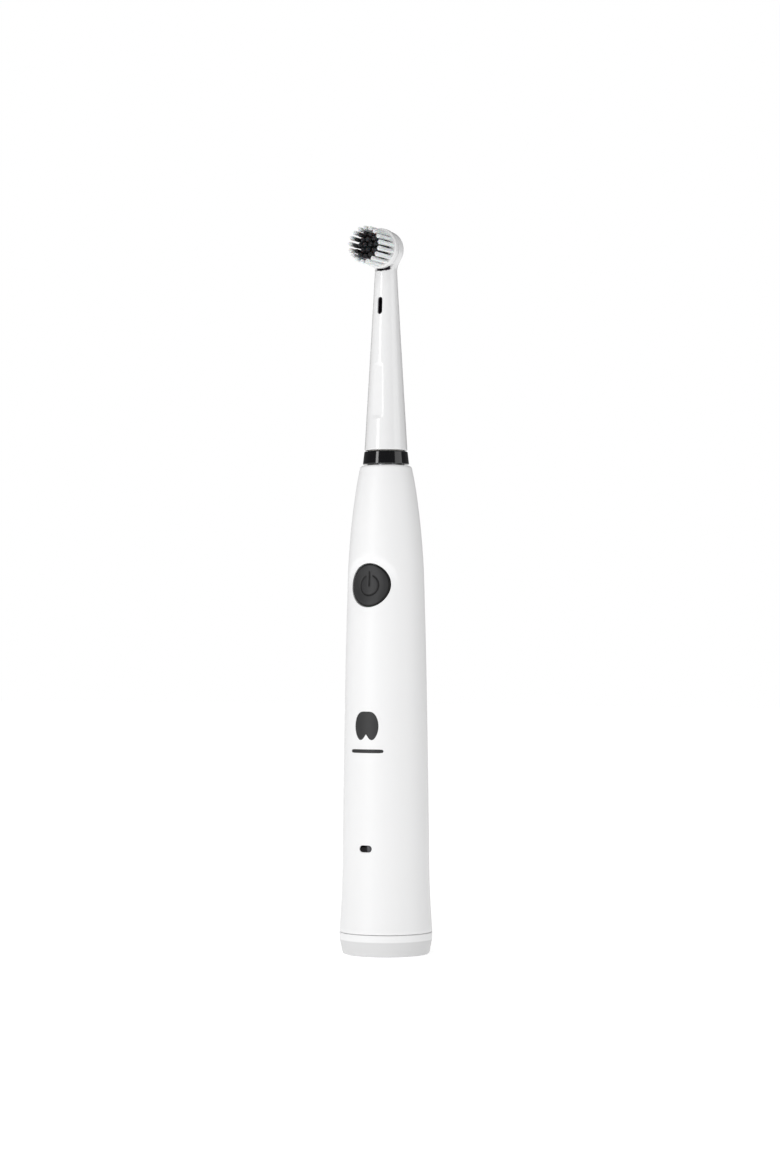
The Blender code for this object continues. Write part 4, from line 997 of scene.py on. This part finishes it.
@dataclass
class Stem:
    """The brush head's hollow stem with its cup, and the ring at its foot."""

    neck: float = 3.62 * MM
    taper: float = 1.05
    length: float = 61.6 * MM
    wall: float = 1.4 * MM
    cup_radius: float = 6.3 * MM
    cup_back: float = 4.0 * MM
    cup_front: float = 2.4 * MM
    fillet: float = 1.6 * MM
    flat_low: float = 10.6 * MM
    flat_tall: float = 18.3 * MM
    flat_step: float = 0.3 * MM
    bar_drop: float = 3.0 * MM
    disc_gap: float = 0.6 * MM
    disc_back: float = 3.05 * MM
    gap_half: float = 0.6 * MM
    gap_depth: float = 1.7 * MM
    gap_drop: float = 5.2 * MM
    slot_height: float = 48.2 * MM
    cup_wall: float = 1.1 * MM
    columns: int = 160

    def __post_init__(self) -> None:
        """Read the stem's place from the frame."""
        low, high = node_box("brush_stem")
        self.base = low[2]
        self.foot = high[0]
        middle, half = node_middle("bristle_disc")
        self.head, self.disc_radius = middle[2], half[2]

    def radius(self, height: np.ndarray) -> np.ndarray:
        """Return the stem's outer radius: a taper that flattens a little as it rises."""
        share = np.clip((height - self.base) / self.length, 0.0, 1.0)
        return self.neck + (self.foot - self.neck) * (1 - share) ** self.taper

    def distance(self, point: np.ndarray) -> np.ndarray:
        """Return how far points lie outside the stem and cup together; inside is negative.

        The stem is a tapered round bar with a flat pressed into its front. The cup
        is a short drum to the front and half an ellipsoid to the back. The two are
        blended with a fillet, and cleared where the bristle disc turns. A narrow
        gap follows the disc's edge below it.
        """
        x, y, z = point[..., 0], point[..., 1], point[..., 2]
        bar = np.hypot(x, y) - self.radius(z)
        foot = self.base + self.flat_low
        crest = foot + self.flat_tall
        share = (z - foot) / self.flat_tall
        flat = self.radius(z) - (0.42 - 0.12 * np.clip(share, 0.0, 1.0)) * MM
        inside = smooth_step(z, foot - self.flat_step, foot + self.flat_step)
        inside = inside * (1 - smooth_step(z, crest - self.flat_step, crest + self.flat_step))
        bar = soft_max(bar, -y - flat - (1 - inside) * MM, 0.12 * MM)
        bar = soft_max(bar, z - (self.head - self.bar_drop), 0.8 * MM)
        across = np.hypot(x, z - self.head)
        dome = (np.hypot(across / self.cup_radius, y / self.cup_back) - 1.0) * self.cup_back
        drum = np.maximum(across - self.cup_radius, -1.0)
        cup = np.where(y > 0.0, dome, drum)
        cup = soft_max(cup, -y - self.cup_front, 0.5 * MM)
        both = soft_min(bar, cup, self.fillet)
        disc = np.maximum(across - self.disc_radius - self.disc_gap, y + self.disc_back)
        both = soft_max(both, -disc, 0.25 * MM)
        gap = np.maximum(np.abs(across - self.disc_radius) - self.gap_half, y + self.gap_depth)
        gap = np.maximum(gap, z - (self.head - self.gap_drop))
        return np.maximum(both, -gap)

    def build_stem(self, material: bpy.types.Material) -> bpy.types.Object:
        """Make the stem: rays from its axis, then from the cup's middle, meet the surface.

        The lower rays are level, one row for each height. The upper ones fan out
        of the cup's middle up to its top. Each ray is halved until it ends on the
        surface where the distance is nothing.
        """
        turn = angles_round(self.columns)
        edge, longest, halvings = 0.3 * MM, 12.0 * MM, 34
        lower = np.linspace(self.base + edge, self.head - 10.0 * MM, 90)
        upper = np.linspace(self.head - 10.0 * MM, self.head, 60)[1:]
        heights = np.concatenate([lower, upper])
        fan = np.linspace(0.0, math.pi / 2, 50)[1:]
        rise = np.concatenate([np.zeros(len(heights)), fan])
        start = np.concatenate([heights, np.full(len(fan), self.head)])
        way = np.stack([np.cos(rise)[:, None] * np.sin(turn), -np.cos(rise)[:, None] * np.cos(turn),
                        np.repeat(np.sin(rise)[:, None], self.columns, axis=1)], axis=-1)
        origin = np.zeros_like(way)
        origin[..., 2] = start[:, None]
        near, far = np.zeros(way.shape[:2]), np.full(way.shape[:2], longest)
        for _ in range(halvings):
            middle = (near + far) / 2
            outside = self.distance(origin + way * middle[..., None]) > 0.0
            far = np.where(outside, middle, far)
            near = np.where(outside, near, middle)
        skin = origin + way * near[..., None]
        roll = []
        for angle in np.linspace(0.0, math.pi / 2, 6)[1:]:
            row = skin[0] * (1 - edge * (1 - math.cos(angle)) / self.foot)
            row[:, 2] = self.base + edge * (1 - math.sin(angle))
            roll.append(row)
        middle = np.zeros((1, self.columns, 3))
        middle[..., 2] = self.base
        rows = np.concatenate([middle, np.array(roll)[::-1], skin])
        piece = build_piece("stem_tube", rows.reshape(-1, 3), grid_faces(len(rows), self.columns, False))
        insert = node_box("stem_insert")[1]
        bore_top, grip, crown = insert[2] + FIT, insert[0] + FIT, self.head - 2.7 * MM
        climb = np.linspace(bore_top + 2.0 * MM, self.base + self.length, 8)
        bore = [(0.0, self.base - MM, 0.0), (grip, self.base - MM, 0.0), (grip, bore_top, 0.0)]
        bore += [(float(r), float(z), 0.0) for r, z in zip(self.radius(climb) - self.wall, climb)]
        bore += [(self.neck - self.wall, crown, 0.0), (0.0, crown, 0.0)]
        bore_tool = turned("bore_tool", bore, 64)
        inner = self.cup_radius - self.cup_wall
        floor = -self.cup_back + self.cup_wall
        post, mouth = 1.7 * MM, self.cup_front + MM
        hollow = ((0.0, 0.0, 0.0), (post, 0.0, 0.0), (post, floor, 0.0), (0.7 * inner, floor, 0.0),
                  (inner, -0.3 * self.cup_back, 0.0), (inner, mouth, 0.0), (0.0, mouth, 0.0))
        hollow_tool = turned("cup_tool", hollow, 72)
        turn_to_front(hollow_tool, self.head)
        corners, outer_y, inner_y = 48, -9.0 * MM, -1.3 * MM
        turn = angles_round(corners)
        along, across = Hole(0.0, 2.02 * MM, 0.88 * MM).edge(turn, 0.0)
        height = self.base + self.slot_height
        rings = [np.stack([across * share, np.full(corners, y), height + along * share], axis=-1)
                 for share, y in ((0.0, outer_y), (1.0, outer_y), (1.0, inner_y), (0.0, inner_y))]
        slot_tool = build_piece("slot_tool", np.vstack(rings), grid_faces(len(rings), corners, False))
        cut(piece, [bore_tool, hollow_tool, slot_tool])
        return enlist(dress(piece, material), "brush_head", "stem_white", "brush_stem")

    def build_ring(self, material: bpy.types.Material) -> bpy.types.Object:
        """Make the black ring at the stem's foot."""
        low, high = node_box("id_ring")
        bore = node_box("stem_insert")[1][0] + FIT
        top = high[0] - 0.5 * MM
        corners = ((bore, high[2], 0.15 * MM), (top, high[2], 0.45 * MM), (high[0], low[2], 0.35 * MM),
                   (bore, low[2], 0.15 * MM))
        piece = turned("colour_ring", corners, 160, closed=True, steps=8)
        return enlist(dress(piece, material), "brush_head", "ring_black", "id_ring")


@dataclass
class BristleField:
    """The disc and its tufts: an outer row of fat pale tufts round a dark field."""

    outer_count: int = 17
    outer_pitch: float = 5.55 * MM
    outer_radius: float = 0.75 * MM
    dark_rows: tuple = ((1, 0.0), (6, 1.9 * MM), (12, 3.75 * MM))
    dark_radius: float = 0.74 * MM
    filaments: int = 42
    filament_radius: float = 0.105 * MM
    foot_share: float = 0.9
    head_share: float = 1.04
    lean: float = 0.045 * MM
    splay: float = 0.05 * MM
    dome: float = 0.42 * MM
    length_spread: float = 0.05 * MM
    rooted: float = 0.5 * MM
    sides: int = 6

    def __post_init__(self) -> None:
        """Read the disc's place from the frame."""
        middle, half = node_middle("bristle_disc")
        self.height, self.radius = middle[2], half[2]
        self.plate = -node_box("bristle_disc")[0][1]
        self.tip = -node_box("white_tufts")[0][1]

    def tufts(self, name: str, middles: np.ndarray, radius: float, reach: float, seed: int,
              uneven: float) -> bpy.types.Object:
        """Make tufts of filaments.

        A tuft's filaments stand on a sunflower pattern: the n-th is at the square
        root of n from the middle, a golden angle on. Each one is a six-sided rod
        of five rings that ends in a dome, and the outer ones end a little lower,
        so the tuft's end is rounded.

        Args:
            name: the piece's name.
            middles: each tuft's x and z, from the disc's middle.
            radius: a tuft's radius.
            reach: how far from the stem's axis the tips are.
            seed: the seed of the small differences between filaments.
            uneven: how much shorter than that a whole tuft may be.

        Returns:
            The piece.
        """
        draw = np.random.default_rng(seed)
        number = np.arange(self.filaments)
        away = np.sqrt((number + 0.5) / self.filaments)
        spin = number * math.pi * (3 - math.sqrt(5))
        spread = radius - self.filament_radius
        base = np.stack([away * np.cos(spin), away * np.sin(spin)], axis=-1) * spread
        shape = (len(middles), self.filaments)
        foot = middles[:, None, :] + base[None] * self.foot_share
        outward = middles / np.maximum(np.linalg.norm(middles, axis=1, keepdims=True), 1e-6)
        lean = draw.normal(0.0, self.lean, (*shape, 2))
        head = middles[:, None, :] + base[None] * self.head_share + lean
        head = head + outward[:, None, :] * self.splay
        length = reach - self.dome * away[None] ** 3
        length = length - np.abs(draw.normal(0.0, self.length_spread, shape))
        length = length - draw.uniform(0.0, uneven, (len(middles), 1))
        levels = ((0.0, 1.0), (0.5, 1.0), (0.965, 1.0), (0.985, 0.8), (1.0, 0.35))
        corner = angles_round(self.sides)
        circle = np.stack([np.cos(corner), np.sin(corner)], axis=-1) * self.filament_radius
        start = self.plate - self.rooted
        rings = []
        for share, thick in levels:
            middle = foot + (head - foot) * share
            flat = middle[:, :, None, :] + circle[None, None] * thick
            depth = -(start + (length - start) * share)
            rings.append(np.stack([flat[..., 0], np.repeat(depth[..., None], self.sides, axis=2),
                                   self.height + flat[..., 1]], axis=-1))
        points = np.stack(rings, axis=2)
        each = len(levels) * self.sides
        rods = points.reshape(-1, each, 3)
        quads = grid_faces(len(levels), self.sides, False)
        starts = np.arange(len(rods))[:, None, None] * each
        faces = (quads[None] + starts).reshape(-1, 4).tolist()
        side = np.arange(self.sides)
        ends = np.stack([side[::-1], side + (len(levels) - 1) * self.sides])
        faces += (ends[None] + starts).reshape(-1, self.sides).tolist()
        piece = build_piece(name, rods.reshape(-1, 3), faces, Shading.SMOOTH, merge=0.01e-6)
        shades = np.repeat(draw.uniform(0.0, 1.0, len(rods)), each).astype(np.float32)
        layer = piece.data.attributes.new("shade", "FLOAT", "POINT")
        layer.data.foreach_set("value", shades[:len(piece.data.vertices)])
        return piece

    def build_tufts(self, pale: bpy.types.Material, dark: bpy.types.Material) -> None:
        """Make the outer row and the dark field."""
        turn = 2 * math.pi * np.arange(self.outer_count) / self.outer_count + math.pi / 2
        ring = np.stack([np.cos(turn), np.sin(turn)], axis=-1) * self.outer_pitch
        piece = self.tufts("pale_tufts", ring, self.outer_radius, self.tip, 5, 0.05 * MM)
        enlist(dress(piece, pale), "disc", "bristle_white", "white_tufts")
        spots = []
        for count, radius in self.dark_rows:
            turn = 2 * math.pi * np.arange(count) / count
            spots.append(np.stack([np.cos(turn), np.sin(turn)], axis=-1) * radius)
        piece = self.tufts("dark_field", np.vstack(spots), self.dark_radius, self.tip, 9, 0.5 * MM)
        enlist(dress(piece, dark), "disc", "bristle_dark", "dark_tufts")

    def build_disc(self, material: bpy.types.Material) -> bpy.types.Object:
        """Make the disc: a plate with a rounded rim and a boss for its axle behind."""
        back = self.plate - 2.2 * MM
        bore, boss = 1.1 * MM, 1.8 * MM
        corners = ((0.0, self.plate, 0.0), (self.radius - 0.35 * MM, self.plate, 0.1 * MM),
                   (self.radius, self.plate - 0.35 * MM, 0.3 * MM), (self.radius, back, 0.3 * MM),
                   (boss, back, 0.2 * MM), (boss, 0.3 * MM, 0.1 * MM), (bore, 0.3 * MM, 0.1 * MM),
                   (bore, self.plate - 1.3 * MM, 0.0), (0.0, self.plate - 1.3 * MM, 0.0))
        piece = turned("disc_plate", corners, 128)
        turn_to_front(piece, self.height)
        return enlist(dress(piece, material), "disc", "stem_white", "bristle_disc")


# ---------------------------------------------------------------- inner works

@dataclass
class InnerWorks:
    """The pieces inside, and the nose that shows when the head is pulled off."""

    bore: float = 3.7 * MM
    radius: float = 4.6 * MM
    flange_tall: float = 1.6 * MM

    def build_nose(self, material: bpy.types.Material) -> None:
        """Make the nose sleeve and the drive shaft round and smooth."""
        low, high = node_box("nose_sleeve")
        ceiling = low[2] + self.flange_tall
        corners = ((self.bore, high[2], 0.2 * MM), (self.radius, high[2], 0.5 * MM),
                   (self.radius, ceiling, 0.2 * MM), (high[0], ceiling, 0.2 * MM),
                   (high[0], low[2], 0.2 * MM), (self.bore, low[2], 0.2 * MM))
        piece = turned("nose_tube", corners, 96, closed=True)
        enlist(dress(piece, material), "handle", "steel", "nose_sleeve")
        low, high = node_box("drive_shaft")
        corners = ((0.0, high[2], 0.0), (high[0], high[2], 0.3 * MM), (high[0], low[2], 0.2 * MM),
                   (0.0, low[2], 0.0))
        piece = turned("swing_shaft", corners, 64)
        enlist(dress(piece, material), "drive", "steel", "drive_shaft")

    def dress_nodes(self, finishes: dict[str, bpy.types.Material]) -> None:
        """Give every CAD node that stays the finish of its record slot."""
        slots = {entry["node"]: entry["material_slot"] for entry in frame["record"]["subparts"]}
        for name, node in frame["nodes"].items():
            node.data.materials.clear()
            node.data.materials.append(finishes[slots[name]])


# ---------------------------------------------------------------- studio

@dataclass(frozen=True)
class Lamp:
    """One soft light: where it stands, how large and bright it is, and what it lights.

    The azimuth is in degrees from the camera's, and the radiance is that of its face.
    """

    name: str
    azimuth: float
    height: float
    width: float
    tall: float
    radiance: float
    diffuse: bool
    glossy: bool


@dataclass
class Studio:
    """Floor, soft lights and camera."""

    distance: float = 918.0 * MM
    eye: float = 99.0 * MM
    azimuth: float = 28.5
    pitch: float = 1.455
    aside: float = 1.33 * MM
    lens: float = 84.77
    fill: float = 0.64
    gloss: float = 0.1
    lamp_distance: float = 0.9
    lamp_aim: float = 0.12
    floor_glow: float = 0.42
    floor_half: float = 4.0
    floor_drop: float = 0.02 * MM
    lamps: tuple = (Lamp("strip", -47.0, 0.2, 0.2, 0.9, 5.0, False, True),
                    Lamp("right_box", 68.0, 0.3, 0.66, 0.9, 1.2, False, True),
                    Lamp("key", -32.0, 0.35, 0.9, 0.9, 1.55, True, False))

    @staticmethod
    def spot(distance: float, turn: float, height: float) -> Vector:
        """Return the place at a distance and an angle from the front, at a height."""
        return Vector((distance * math.sin(turn), -distance * math.cos(turn), height))

    def build_floor(self) -> None:
        """Make the plain pale floor. Its glow brings it up to the white surround."""
        signs = np.array([[-1.0, -1.0], [1.0, -1.0], [1.0, 1.0], [-1.0, 1.0]])
        corners = np.column_stack([signs * self.floor_half, np.full(4, -self.floor_drop)])
        floor = build_piece("floor", corners, [[0, 1, 2, 3]])
        painter = Painter("floor_white")
        painter.set("Base Color", (0.95, 0.95, 0.95, 1.0))
        painter.set("Roughness", 0.9)
        painter.set("Specular IOR Level", 0.0)
        painter.set("Emission Color", (1.0, 1.0, 1.0, 1.0))
        painter.set("Emission Strength", self.floor_glow)
        dress(floor, painter.material)

    def build_lamp(self, lamp: Lamp) -> None:
        """Make one soft light, aimed at the middle of the brush.

        Its power is its face's area times pi times its radiance.
        """
        light = bpy.data.lights.new(lamp.name, "AREA")
        light.shape = "RECTANGLE"
        light.size, light.size_y = lamp.width, lamp.tall
        light.energy = lamp.width * lamp.tall * math.pi * lamp.radiance
        lit = bpy.data.objects.new(lamp.name, light)
        lit.visible_diffuse = lamp.diffuse
        lit.visible_glossy = lamp.glossy
        turn = math.radians(self.azimuth + lamp.azimuth)
        lit.location = self.spot(self.lamp_distance, turn, lamp.height)
        aim = Vector((0.0, 0.0, self.lamp_aim)) - lit.location
        lit.rotation_euler = aim.to_track_quat("-Z", "Y").to_euler()
        bpy.context.scene.collection.objects.link(lit)

    def build_world(self) -> None:
        """Make the even surround.

        It is white to the camera, softer as fill light, and dim in reflections.
        White comes out white, through the Standard view transform.
        """
        world = bpy.data.worlds.new("studio")
        world.use_nodes = True
        tree = world.node_tree
        background = tree.nodes["Background"]
        background.inputs["Color"].default_value = (1.0, 1.0, 1.0, 1.0)
        path = tree.nodes.new("ShaderNodeLightPath")
        dim = tree.nodes.new("ShaderNodeMapRange")
        dim.inputs["To Min"].default_value = self.fill
        dim.inputs["To Max"].default_value = self.gloss
        clear = tree.nodes.new("ShaderNodeMapRange")
        clear.inputs["To Max"].default_value = 1.0
        tree.links.new(path.outputs["Is Glossy Ray"], dim.inputs["Value"])
        tree.links.new(path.outputs["Is Camera Ray"], clear.inputs["Value"])
        tree.links.new(dim.outputs["Result"], clear.inputs["To Min"])
        tree.links.new(clear.outputs["Result"], background.inputs["Strength"])
        bpy.context.scene.world = world
        bpy.context.scene.view_settings.view_transform = "Standard"

    def build_camera(self) -> None:
        """Make the camera, as high as the handle's middle and turned a little to its right."""
        turn = math.radians(self.azimuth)
        right = Vector((math.cos(turn), math.sin(turn), 0.0))
        camera = bpy.data.objects.new("camera", bpy.data.cameras.new("camera"))
        camera.data.lens = self.lens
        camera.data.clip_start = 0.01
        camera.location = self.spot(self.distance, turn, self.eye)
        rise = self.eye + self.distance * math.tan(math.radians(self.pitch))
        aim = right * self.aside + Vector((0.0, 0.0, rise)) - camera.location
        camera.rotation_euler = aim.to_track_quat("-Z", "Y").to_euler()
        bpy.context.scene.collection.objects.link(camera)
        bpy.context.scene.camera = camera

    def build(self) -> None:
        """Make the world, the floor, the lights and the camera."""
        self.build_world()
        self.build_floor()
        for lamp in self.lamps:
            self.build_lamp(lamp)
        self.build_camera()


# ---------------------------------------------------------------- the whole

def make_finishes() -> dict[str, bpy.types.Material]:
    """Return each record slot's material."""
    low, high = node_box("battery_cell")
    button, half = node_middle("power_button")
    tip = -node_box("white_tufts")[0][1]
    stem = Stem()
    slope = (stem.foot - stem.neck) / stem.length
    finishes = [Plastic("casing_white", (0.79, 0.79, 0.792), 0.44, mottle=0.012, depth=0.02),
                # The base cap's lower taper gets painted shade below the skirt's height.
                Plastic("base_white", (0.79, 0.79, 0.792), 0.44, mottle=0.012, depth=0.03,
                        skirt=4.9 * MM),
                # The stem's dark inside colour is painted shade on the wall of its hollow.
                StemPlastic("stem_white", (0.76, 0.76, 0.763), (0.02, 0.014, 0.024), 0.16,
                            stem.base, stem.foot, slope, stem.head - 4.5 * MM),
                Plastic("ring_black", (0.004, 0.004, 0.005), 0.1, mottle=0.1, depth=0.01, coat=0.5),
                SmokedLens("window_black", (0.002, 0.002, 0.002), (0.07, 0.07, 0.075), 0.75 * MM),
                # The button's second colour is painted shade for the sign's grooves and the gap round its
                # rim.
                SoftTouch("button_charcoal", (0.022, 0.022, 0.023), (0.006, 0.006, 0.006), 0.4,
                          button[2], half[0]),
                Plastic("rod_plum", (0.045, 0.03, 0.05), 0.4, depth=0.08),
                Plastic("rubber_black", (0.015, 0.015, 0.015), 0.7, mottle=0.15, depth=0.2),
                Winding("copper_wire", (0.72, 0.3, 0.13), 0.25 * MM),
                Metal("steel", (0.62, 0.63, 0.65), 0.22),
                Metal("brass", (0.8, 0.58, 0.24), 0.25),
                Plastic("acetal", (0.8, 0.78, 0.72), 0.45, depth=0.08),
                Plastic("frame_grey", (0.3, 0.31, 0.33), 0.5, depth=0.15),
                Board("board_green"),
                Plastic("chip_black", (0.02, 0.02, 0.02), 0.5, depth=0.15),
                CellWrap("cell_wrap", low[2], high[2]),
                Metal("magnet", (0.16, 0.16, 0.17), 0.55, (1.0, 1.0, 1.0)),
                Filament("bristle_white", (0.74, 0.74, 0.74), (0.96, 0.96, 0.96), 0.4, tip),
                Filament("bristle_dark", (0.008, 0.008, 0.009), (0.06, 0.062, 0.067), 0.45, tip)]
    return {finish.name: finish.material() for finish in finishes}


def main() -> None:
    """Build the studio and every sub-assembly in order."""
    logging.basicConfig(level=logging.INFO, format="%(message)s")
    Studio().build()
    finishes = make_finishes()
    works = InnerWorks()
    works.dress_nodes(finishes)
    works.build_nose(finishes["steel"])
    casing = Casing()
    casing.build_shell(finishes["casing_white"])
    casing.build_cap(finishes["base_white"])
    casing.build_window(finishes["window_black"])
    casing.build_print(Plastic("print_grey", (0.018, 0.018, 0.019), 0.5, depth=0.02).material())
    PowerButton(casing).build(finishes["button_charcoal"])
    stem = Stem()
    stem.build_stem(finishes["stem_white"])
    stem.build_ring(finishes["ring_black"])
    bristles = BristleField()
    bristles.build_disc(finishes["stem_white"])
    bristles.build_tufts(finishes["bristle_white"], finishes["bristle_dark"])


if __name__ == "__main__":
    main()
